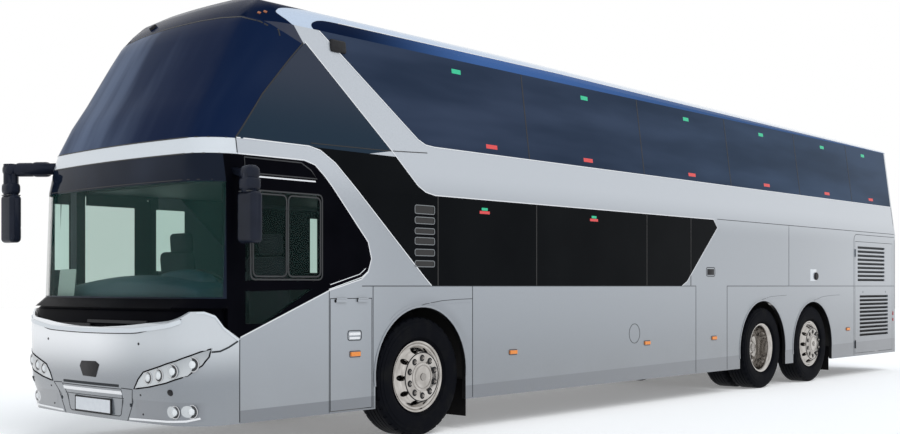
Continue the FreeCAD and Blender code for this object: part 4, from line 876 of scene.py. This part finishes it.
# Number plates: blank, in black moulded frames, on the bumper and on the engine hatch.
plate_blank = blended("plate_blank", [(0.62, 0.64, 0.68), (0.76, 0.78, 0.80)], 0.35, (20, 3))
dress(plate_blank, "front_number_plate", "rear_number_plate")
frame_deep, frame_wide = 0.010, 0.548
for end, body in (("front", "coach"), ("rear", "engine_hatch_body")):
    corners = nodes[end + "_number_plate"].bound_box
    low_x, high_x, low_z, high_z = (
        pick(corner[axis] for corner in corners) for axis in (0, 2) for pick in (min, max))
    upright = (frame_deep, 0.012, high_z - low_z + 0.024)
    frame_bm = bmesh.new()
    for y, z, size in ((0, low_z - 0.004, (frame_deep, frame_wide, 0.016)),
                       (0, high_z + 0.003, (frame_deep, frame_wide, 0.010)),
                       (0.267, (low_z + high_z) / 2, upright),
                       (-0.267, (low_z + high_z) / 2, upright)):
        block(frame_bm, Matrix.Translation(((low_x + high_x) / 2, y, z)), size, 0.002)
    finish_piece(frame_bm, end + "_plate_frame", moulded_black, body)

# Side fittings: amber markers in dark beds, the lock and sunk handle of the front flap, a
# square filler flap, round inlet flaps, and the small lamps at the tail's corners.
dress(lamp_amber, "side_markers")
fitting_lines = bmesh.new()
for x, z, sides in ((3.054, 0.715, BOTH), (0.587, 0.717, BOTH), (-0.965, 0.722, LEFT),
                    (-5.03, 0.722, BOTH), (5.214, 0.79, BOTH)):
    bed = rounded_loop((x - 0.062, z - 0.025), (x + 0.062, z + 0.025), 0.008)
    side_strip(fitting_lines, bed, 0.006, closed=True, sides=sides)
# The handle's bed, the square flap and the round inlet: width, height over the skin, line.
for width, proud, line in (
        (0.006, 0.003, rounded_loop((5.14, 0.908), (5.297, 0.991), 0.02)),
        (0.009, strip_proud, rounded_loop((-0.989, 1.495), (-0.774, 1.604), 0.03)),
        (0.006, strip_proud, arc(0.85, 0.833, 0.11, range(0, 360, 15)))):
    side_strip(fitting_lines, line, width, 0.2, proud, True, LEFT)
sockets_bm, plate_bm, handle_bm = bmesh.new(), bmesh.new(), bmesh.new()
stand_on(sockets_bm, on_side(-0.882, 1.548), (0.17, 0.075, 0.006), 0.003)
stand_on(plate_bm, on_side(-3.83, 1.53), (0.20, 0.17, 0.006), 0.003)
turned(sockets_bm, [(0, 0.004), (0.055, 0.004), (0.055, 0.02), (0.045, 0.028), (0, 0.030)],
       on_side(-3.90, 1.515))
finish_piece(sockets_bm, "side_sockets", moulded_black, smooth=35)
finish_piece(plate_bm, "side_socket_plate", band_paint, smooth=35)
finish_piece(fitting_lines, "fitting_joints", joint_and_shade_dark)
stand_on(handle_bm, on_side(5.218, 0.963), (0.135, 0.028, 0.014), 0.006, segments=3)
stand_on(handle_bm, on_side(5.218, 0.927), (0.125, 0.020, 0.006), 0.003)
finish_piece(handle_bm, "flap_handle", bright_edge, "front_service_flap_body", 35)
for name, body, radius, places in (
        ("flap_lock", "front_service_flap_body", 0.013, ((5.44, 1.245),)),
        ("engine_flap_locks", "left_engine_flap_body", 0.012, ((-5.6, 1.28), (-6.5, 1.28)))):
    lock_bm = bmesh.new()
    for x, z in places:
        turned(lock_bm, [(0, -0.003), (radius, -0.003), (radius, 0.001), (0, 0.002)],
               on_side(x, z), 20)
    finish_piece(lock_bm, name, moulded_black, body, 35)
tail_marks = bmesh.new()
for side in BOTH:
    for z, high in ((0.93, 0.06), (0.83, 0.05)):
        stand_on(tail_marks, on_side(-6.81, z, side), (0.03, high, 0.012), 0.003)
red_lens = lens_film("red_lens", (0.45, 0.02, 0.02), (0.32, 0.015, 0.015), 0.15)
finish_piece(tail_marks, "tail_side_lamps", red_lens)
dress(red_lens, "tail_lamps")

# Engine louvres: pressed blades set slanting behind each slot of the flaps, over black mesh.
# Painted shade: the blades are coloured near black so that the slots read dark, and darker still
# low down under road film.
slat_shade_dark = blended("slat_shade_dark", [(0.030, 0.033, 0.038), (0.012, 0.012, 0.013)], 0.5,
                    film=(0.5, 2.0, 8))
# Blocks: front x, rear x, lowest slot, top of the highest slot, number of slots.
LOUVRES = [(-5.40, -6.46, 1.45, 1.985, 9), (-5.48, -6.60, 0.60, 1.23, 11)]
slot_high = 0.036
for hand, side in (("left", 1), ("right", -1)):
    body = hand + "_engine_flap_body"
    tilt = Matrix.Rotation(math.radians(52 * side), 4, "X")
    slats, mesh_back = bmesh.new(), bmesh.new()
    for front_x, rear_x, low_z, high_z, count in LOUVRES:
        middle_x, middle_z = (front_x + rear_x) / 2, (low_z + high_z) / 2
        long, high = front_x - rear_x, high_z - low_z
        for index in range(count):
            z = low_z + index * (high - slot_high) / (count - 1) + slot_high / 2
            skin_y = on_side(front_x + 0.03, z, side)[0].y
            slant = Matrix.Translation((middle_x, skin_y - side * 0.024, z)) @ tilt
            block(slats, slant, (long - 0.004, 0.040, 0.003), 0.001)
        skin_y = on_side(front_x + 0.03, middle_z, side)[0].y
        block(mesh_back, Matrix.Translation((middle_x, skin_y - side * 0.049, middle_z)),
              (long + 0.03, 0.004, high + 0.03), 0.0015)
    finish_piece(slats, hand + "_louvre_blades", slat_shade_dark, body)
    finish_piece(mesh_back, hand + "_louvre_meshes", moulded_black, body)

# Wheels: steel rims under polished trim. Ten nuts stand in dark hand-cut windows round the
# hub cap; the driven wheels' discs lie deep inside the dish.
polished, shader = new_finish("polished", 0.10, 1.0)
# Painted reflection: the polished trim is coloured in dark and bright patches, which also vary its
# roughness.
reflection_patches = speckle(shader, 9, 3, (1, 6, 1))
give(shader, Base_Color=blend(reflection_patches, (0.22, 0.205, 0.19), (0.72, 0.70, 0.675)),
     Roughness=sum_of("MULTIPLY_ADD", reflection_patches, 0.14, 0.05))
nut_steel, shader = new_finish("nut_steel", 0.25, 1.0, Base_Color=(0.34, 0.325, 0.31))
worn = effect(shader, grain, Scale=120.0, Coarse_Share=0.3)
give(shader, Roughness=sum_of("MULTIPLY_ADD", worn, 0.2, 0.12))
AXLES = [("front", 4.37, True), ("drive", -2.34, False), ("tag", -3.82, True)]
# Wheels: axle, its x, whether it has one tyre, hand, side.
WHEELS = [(*axle, hand, side) for axle in AXLES for hand, side in (("left", 1), ("right", -1))]
wheel_y, wheel_z, tyre_radius, tyre_half = 1.093, 0.545, 0.545, 0.152
rim_half, lip_radius, twin_pitch = 0.125, 0.325, 0.33
nut_circle, nut_count, first_nut = 0.172, 10, 0.31
# Profiles as (radius, distance outwards). Dark bed of each nut, and the capped nut.
NUT_BED = [(0, -0.002), (0.029, -0.002), (0.031, 0.0008), (0.025, 0.0016), (0, 0.0012)]
NUT = [(0, 0.0), (0.0155, 0.0), (0.0155, 0.008), (0.0125, 0.009), (0.0120, 0.018), (0.008, 0.023),
       (0, 0.025)]
HUB_CAP = [(0, 0.010), (0.022, 0.012), (0.030, 0.0135), (0.036, 0.019), (0.030, 0.021),
           (0, 0.023)]
HUB_RING = [(0.100, 0.008), (0.112, 0.008), (0.112, 0.0143), (0.106, 0.0155), (0.100, 0.0150),
            (0.100, 0.008)]
COLLAR = [(0.1135, 0.0), (0.1335, 0.0), (0.1335, 0.003), (0.126, 0.008), (0.1135, 0.010),
          (0.1135, 0.0)]
# Painted shadow: a dark ring where the trim's face ends above the dish.
SHADOW_RING = [(0.2172, 0.0004), (0.2255, -0.0045), (0.2270, -0.0035), (0.2185, 0.0016), (0.2172, 0.0004)]
AXLE_CAP = [(0.0, 0.130), (0.060, 0.130), (0.060, 0.138), (0.045, 0.142), (0, 0.143)]
AXLE_BOLT = [(0, 0.0), (0.008, 0.0), (0.008, 0.008), (0, 0.010)]
VALVE = [(0, 0), (0.006, 0), (0.006, 0.03), (0.004, 0.034), (0, 0.035)]


def ring_of(bm, profile, centre, axis, circle, count, turn, steps):
    """The same round form in a ring about a wheel's axis."""
    for index in range(count):
        angle = 2 * math.pi * index / count + turn
        place = centre + Vector((math.cos(angle), 0, math.sin(angle))) * circle
        turned(bm, profile, (place, axis), steps)


for axle, axle_x, single, hand, side in WHEELS:
    body = "%s_%s_wheel" % (axle, hand)
    out = Vector((0, side, 0))
    face, valve_face = (rim_half + 0.055, rim_half - 0.02) if single else (-0.125, -0.10)
    centre = Vector((axle_x, side * (wheel_y + face), wheel_z))
    fair_copy("%s_%s_rim" % (axle, hand), polished, body, 32)
    beds, nuts, valve = bmesh.new(), bmesh.new(), bmesh.new()
    ring_of(beds, NUT_BED, centre, out, nut_circle, nut_count, first_nut, 20)
    ring_of(nuts, NUT, centre, out, nut_circle, nut_count, first_nut, 6)
    if single:
        for profile, steps in ((HUB_CAP, 32), (HUB_RING, 48), (COLLAR, 48)):
            turned(nuts, profile, (centre, out), steps)
        turned(beds, SHADOW_RING, (centre, out), 64)
    else:
        turned(nuts, AXLE_CAP, (centre, out), 32)
        ring_of(nuts, AXLE_BOLT, centre + out * 0.105, out, 0.078, 8, 0.1, 6)
    turned(valve, VALVE, ((axle_x + 0.262, side * (wheel_y + valve_face), wheel_z), out), 16)
    finish_piece(beds, body + "_nut_beds", moulded_black, body, 35)
    finish_piece(nuts, body + "_nuts", nut_steel, body, 35)
    finish_piece(valve, body + "_valve", moulded_black, body, 35)

# Tyres: black rubber with four grooves round the tread, cuts across the shoulders, and stepped
# sidewalls. They carry no lettering. Dust greys the tread.
tyre_rubber = blended("tyre_rubber", [(0.0035, 0.004, 0.006), (0.0075, 0.0078, 0.0085)], 0.62,
                      (7, 4), spread=(0.45, 0.8), grained=(260, 0.5, 0.25, 0.0008), specular=0.03)
bead = lip_radius + 0.004
SIDEWALL = [(bead - 0.02, rim_half - 0.022), (bead, rim_half - 0.014),
            (bead + 0.012, rim_half - 0.004), (bead + 0.020, rim_half + 0.008),
            (bead + 0.024, rim_half + 0.008), (bead + 0.031, tyre_half - 0.008),
            (bead + 0.050, tyre_half - 0.002)]
SIDEWALL += [(tyre_radius - inwards, tyre_half - down) for inwards, down in (
    (0.115, 0.0005), (0.080, 0.001), (0.078, 0.004), (0.045, 0.006), (0.043, 0.011),
    (0.020, 0.017), (0.009, 0.024))]
groove_half, groove_deep = 0.005, 0.012
TREAD = [(tyre_radius - 0.003, tyre_half - 0.036), (tyre_radius, tyre_half - 0.046)]
for groove_y in (0.070, 0.024, -0.024, -0.070):
    TREAD += [(tyre_radius - deep, groove_y + groove_half * share)
              for deep, share in ((0, 1), (groove_deep, 0.6), (groove_deep, -0.6), (0, -1))]
TREAD += [(tyre_radius, -tyre_half + 0.046), (tyre_radius - 0.003, -tyre_half + 0.036)]
tyre_profile = SIDEWALL + TREAD + [(radius, -along) for radius, along in reversed(SIDEWALL)]
tyre_steps = 108
for axle, axle_x, single, hand, side in WHEELS:
    tyre_bm = bmesh.new()
    for along in (0,) if single else (0, -twin_pitch):
        centre = Vector((axle_x, side * (wheel_y + along), wheel_z))
        before = set(tyre_bm.faces)
        turned(tyre_bm, tyre_profile + tyre_profile[:1], (centre, (0, side, 0)), tyre_steps)
        # Every third face of the two shoulder ribs is sunk to a cut.
        cuts = []
        for face in tyre_bm.faces:
            middle = face.calc_center_median() - centre
            on_rib = 0.096 < abs(middle.y) < tyre_half - 0.014
            turn_share = math.atan2(middle.z, middle.x) / (2 * math.pi) * tyre_steps
            if (face not in before and on_rib and round(turn_share - 0.5) % 3 == 0
                    and math.hypot(middle.x, middle.z) > tyre_radius - 0.016):
                cuts.append(face)
        bmesh.ops.inset_region(tyre_bm, faces=cuts, thickness=0.002, depth=-0.006,
                               use_even_offset=True)
    tyre = finish_piece(tyre_bm, "%s_%s_tyre_rubber" % (axle, hand), tyre_rubber,
                        "%s_%s_wheel" % (axle, hand), 28)
    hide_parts("%s_%s_tyre" % (axle, hand))

# Mirrors: hanging heads in dark gloss shells on jointed arms with rounded covers, and silvered
# glass on their rear faces.
mirror_shell = blended("mirror_shell", [(0.006, 0.008, 0.014), (0.018, 0.022, 0.036)], 0.22, (5, 2),
                       specular=0.12)
fair_copy("mirrors", mirror_shell, angle=40)
mirror_glass = smudged("mirror_glass", (0.75, 0.78, 0.80), 1.0, (12, 3), 0.06, 0.01)
mirror_y, mirror_half_deep = 1.47, 0.055
rearward = Vector((-1, 0, 0))
# Heads: side, x, low z, high z, arm's z at the head, rise of the elbow's cover, arm's root.
HEADS = [(1, 6.50, 1.70, 2.10, 2.21, 0.03, (6.47, 1.22, 2.30)),
         (-1, 6.90, 1.765, 2.20, 2.425, 0.0, (6.66, -1.17, 2.43))]
glass_bm, cover_bm, band_bm = bmesh.new(), bmesh.new(), bmesh.new()
for side, x, low_z, high_z, arm_z, rise, root in HEADS:
    y, high = side * mirror_y, high_z - low_z
    # Main glass above the wide-angle glass.
    for z, size_z in ((low_z + high * 0.63, high * 0.60), (low_z + high * 0.19, high * 0.20)):
        stand_on(glass_bm, ((x - mirror_half_deep, y, z), rearward), (0.150, size_z, 0.006), 0.002)
    # Rounded covers: one on the head's neck, one over the elbow, and two along a long arm.
    stand_on(cover_bm, ((x, y, high_z + 0.055), rearward), (0.155, 0.12, 0.135), 0.045, segments=5)
    stand_on(cover_bm, ((x, y, arm_z + rise), rearward), (0.150, 0.115, 0.130), 0.050, segments=5)
    elbow = Vector((x, y, arm_z))
    arm = Vector(root) - elbow
    across = arm.cross(Vector((0, 0, 1))).normalized()
    if arm.length > 0.3:
        for share, long, tall in ((0.36, 0.20, 0.125), (0.74, 0.18, 0.135)):
            stand_on(cover_bm, (elbow + arm * share, across), (long, tall, 0.11), 0.045, segments=5)
    stand_on(band_bm, ((x, y, high_z - 0.004), rearward), (0.130, 0.010, 0.118), 0.003)
finish_piece(glass_bm, "mirror_glasses", mirror_glass)
finish_piece(cover_bm, "mirror_covers", mirror_shell, smooth=50)
finish_piece(band_bm, "mirror_bands", seal_grey, smooth=35)

# Wipers lie in the cowl: black steel arms with rubber blades. Mudflaps hang behind the axles.
dress(moulded_black, "wipers")
flap_rubber = blended("flap_rubber", [(0.003, 0.003, 0.004), (0.010, 0.0095, 0.009)], 0.7,
                      film=(0.1, 0.7, 9), grained=(200, 0.5, 0.3, 0.0008), specular=0.05)
dress(flap_rubber, "mudflaps")

# Underbody: welded rails and beams in black paint, cast axles, and moulded wheel housings, all
# under road dirt. The engine is one iron-grey block.
under_paint = blended("under_paint", [(0.014, 0.014, 0.016), (0.075, 0.065, 0.055)], 0.55,
                      film=(0.1, 1.6, 5), grained=(150, 0.5, 0.3, 0.0010), metallic=0.1)
dress(under_paint, "chassis_rails", "front_axle_beam", "tag_axle_beam", "drive_axle",
      *(name for name in nodes if "_knuckle_" in name))
housing_plastic = blended("housing_plastic", [(0.005, 0.005, 0.006), (0.030, 0.028, 0.026)], 0.8,
                          film=(0.3, 1.4, 7), grained=(90, 0.8, 0.4, 0.0015))
dress(housing_plastic, "wheel_wells")
cast_iron = blended("cast_iron", [(0.10, 0.10, 0.11), (0.04, 0.035, 0.03)], 0.65,
                    film=(0.4, 1.6, 6), grained=(120, 0.6, 0.5, 0.0015), metallic=0.5)
dress(cast_iron, "engine_block")

# Floors and bulkheads: plywood under grey studded sheet.
floor_sheet = blended("floor_sheet", [(0.035, 0.036, 0.040), (0.085, 0.086, 0.09)], 0.55, (40, 4),
                      grained=(80, 0.4, 0.25, 0.0010))
dress(floor_sheet, "lower_floor", "upper_floor", "bulkheads")

# Dashboard: a soft dark green-blue moulding with a crowned top, a hooded binnacle before the
# driver, a small holder, and the steering wheel in grained plastic.
dash_soft, shader = new_finish("dash_soft", 0.5)
# Painted light: the moulding is coloured lighter towards the middle and darker towards the driver's
# side.
near_middle = blend(speckle(shader, 6, 3), (0.055, 0.125, 0.145), (0.090, 0.180, 0.205))
give(shader, Base_Color=blend(ramp(axes_of(shader)[1], 0.05, 0.75), near_middle,
                              (0.010, 0.045, 0.068)))
pebble(shader, 220, 0.3, 0.3, 0.0006)
dress(dash_soft, "dashboard")
dress(moulded_black, "steering_wheel")


def padded_form(bm, size, place, round_off, crown, lean, cuts, channels=()):
    """A soft box with rounded edges, a crowned face upwards and sewn channels across it."""
    form = bmesh.new()
    bmesh.ops.create_cube(form, size=1)
    bmesh.ops.subdivide_edges(form, edges=list(form.edges), cuts=cuts, use_grid_fill=True)
    half = Vector(size) / 2
    tilt = Matrix.Rotation(lean, 3, "Y")
    channel_half, channel_deep, under_crown = 0.6 / cuts, crown * 0.6, -0.3
    for vert in form.verts:
        share = vert.co * 2
        point = Vector([a * b for a, b in zip(share, half)])
        core = Vector([max(round_off - b, min(b - round_off, a)) for a, b in zip(point, half)])
        away = point - core
        if away.length > 0:
            point = core + away.normalized() * min(away.length, round_off)
        swell = crown * (1 - share.x ** 2) * (1 - share.y ** 2)
        point.z += swell * (1 if share.z > 0 else under_crown if share.z < 0 else 0)
        if share.z > 0:
            point.z -= channel_deep * sum(abs(share.y - at) < channel_half for at in channels)
        vert.co = tilt @ point + Vector(place)
    mesh = bpy.data.meshes.new("form")
    form.to_mesh(mesh)
    form.free()
    bm.from_mesh(mesh)
    bpy.data.meshes.remove(mesh)


dash_bm, holder_bm, card_bm = bmesh.new(), bmesh.new(), bmesh.new()
padded_form(dash_bm, (0.42, 2.00, 0.20), (6.50, 0.05, 1.28), 0.07, 0.085, 0.10, 11)
padded_form(dash_bm, (0.22, 0.66, 0.26), (6.44, 0.56, 1.33), 0.07, 0.05, -0.15, 9)
finish_piece(dash_bm, "dash_top", dash_soft, smooth=60)
for place, size in (((6.60, -0.33, 1.33), (0.075, 0.14, 0.012)),
                    ((6.60, -0.20, 1.325), (0.06, 0.12, 0.012))):
    stand_on(holder_bm, (place, (1, 0, 0.2)), size, 0.004)
turned(holder_bm, [(0, 0), (0.035, 0), (0.03, 0.02), (0.008, 0.03), (0.008, 0.06), (0, 0.06)],
       ((6.60, -0.27, 1.255), (0, 0, 1)), 16)
finish_piece(holder_bm, "dash_holder", moulded_black, smooth=35)
card_paper = lens_film("card_paper", (0.66, 0.88, 0.76), (0.60, 0.82, 0.70), 0.6)
stand_on(card_bm, ((6.735, -0.79, 1.40), (0.98, -0.21, 0.10)), (0.44, 0.24, 0.004), 0.001)
finish_piece(card_bm, "blank_card", card_paper)

# Far-side windows: panes on the inner face of the wall beside the entrance that glow pale green,
# painted light for the daylight seen through them, with black trim round the door's pane.
far_pane_glow, shader = new_finish("far_pane_glow", 0.3, Emission_Strength=1.25)
pane_tone = blend(speckle(shader, 3, 2), (0.42, 0.58, 0.52), (0.48, 0.64, 0.58))
give(shader, Base_Color=pane_tone, Emission_Color=pane_tone)
panes_bm, trim_bm = bmesh.new(), bmesh.new()
for x, long, y in ((5.36, 0.33, -1.226), (6.545, 0.14, -1.208), (3.48, 0.10, -1.226)):
    stand_on(panes_bm, ((x, y, 1.82), (0, 1, 0)), (long, 0.60, 0.004), 0.001)
for x, z, long, high in ((5.615, 1.75, 0.29, 0.90), (5.95, 2.175, 0.66, 0.10)):
    stand_on(trim_bm, ((x, -1.24, z), (0, 1, 0)), (long, high, 0.006), 0.001)
finish_piece(panes_bm, "far_side_panes", far_pane_glow)
finish_piece(trim_bm, "door_inner_trim", frame_black)

# Seats: foam pads in dark cloth with sewn channels, one for the driver with a headrest, one
# that folds for the guide on a plain box, and pairs along both decks.
seat_cloth, shader = new_finish("seat_cloth", 0.85)
weave = shader.id_data.nodes.new("ShaderNodeTexWave")
give(weave, Vector=place_of(shader), Scale=160.0, Distortion=1.5)
give(shader, Base_Color=blend(weave.outputs["Fac"], (0.014, 0.016, 0.022), (0.045, 0.048, 0.060)))
ripple(shader, weave.outputs["Fac"], 0.3, 0.0008)
upright, headrest_lean = math.radians(-84), math.radians(-86)
seams = (-0.55, 0.55)
driver_bm, guide_bm, guide_box, rows_bm = bmesh.new(), bmesh.new(), bmesh.new(), bmesh.new()
# Cushion, back and headrest: size, place, rounding, crown, lean, cuts, channels.
for form in (((0.50, 0.50, 0.14), (5.83, 0.56, 0.955), 0.05, 0.025, 0.04, 11, seams),
             ((0.64, 0.48, 0.13), (5.575, 0.56, 1.31), 0.05, 0.025, upright, 11, seams),
             ((0.19, 0.27, 0.10), (5.55, 0.56, 1.735), 0.04, 0.012, headrest_lean, 7)):
    padded_form(driver_bm, *form)
driver_pads = finish_piece(driver_bm, "driver_seat_pads", seat_cloth, smooth=70)
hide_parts("driver_seat")
for form in (((0.44, 0.44, 0.13), (6.00, -0.47, 0.98), 0.05, 0.02, 0.04, 9, seams),
             ((0.66, 0.44, 0.12), (5.78, -0.47, 1.36), 0.05, 0.02, upright, 9, seams),
             ((0.19, 0.27, 0.10), (5.76, -0.47, 1.765), 0.04, 0.012, headrest_lean, 7)):
    padded_form(guide_bm, *form)
guide_pads = finish_piece(guide_bm, "guide_seat_pads", seat_cloth, smooth=70)
stand_on(guide_box, ((5.97, -0.47, 0.65), (0, 0, 1)), (0.34, 0.34, 0.53), 0.02, (0, 1, 0))
finish_piece(guide_box, "guide_seat_box", moulded_black)
seat_pitch, row_lean, row_seams = 0.80, math.radians(-88), (-0.6, 0.6)
# Decks: x of the first row, number of rows, height of the floor.
for first_x, rows, floor_z in ((3.15, 5, 0.38), (4.90, 14, 2.30)):
    for row in range(rows):
        x = first_x - row * seat_pitch
        for y in (0.445, 0.835, -0.445, -0.835):
            padded_form(rows_bm, (0.47, 0.37, 0.16), (x + 0.245, y, floor_z + 0.35), 0.045, 0.02,
                        0.05, 5, row_seams)
            padded_form(rows_bm, (0.84, 0.37, 0.11), (x - 0.055, y, floor_z + 0.64), 0.04, 0.02,
                        row_lean, 5, row_seams)
passenger_pads = finish_piece(rows_bm, "passenger_seat_pads", seat_cloth, smooth=70)
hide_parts("passenger_seats")
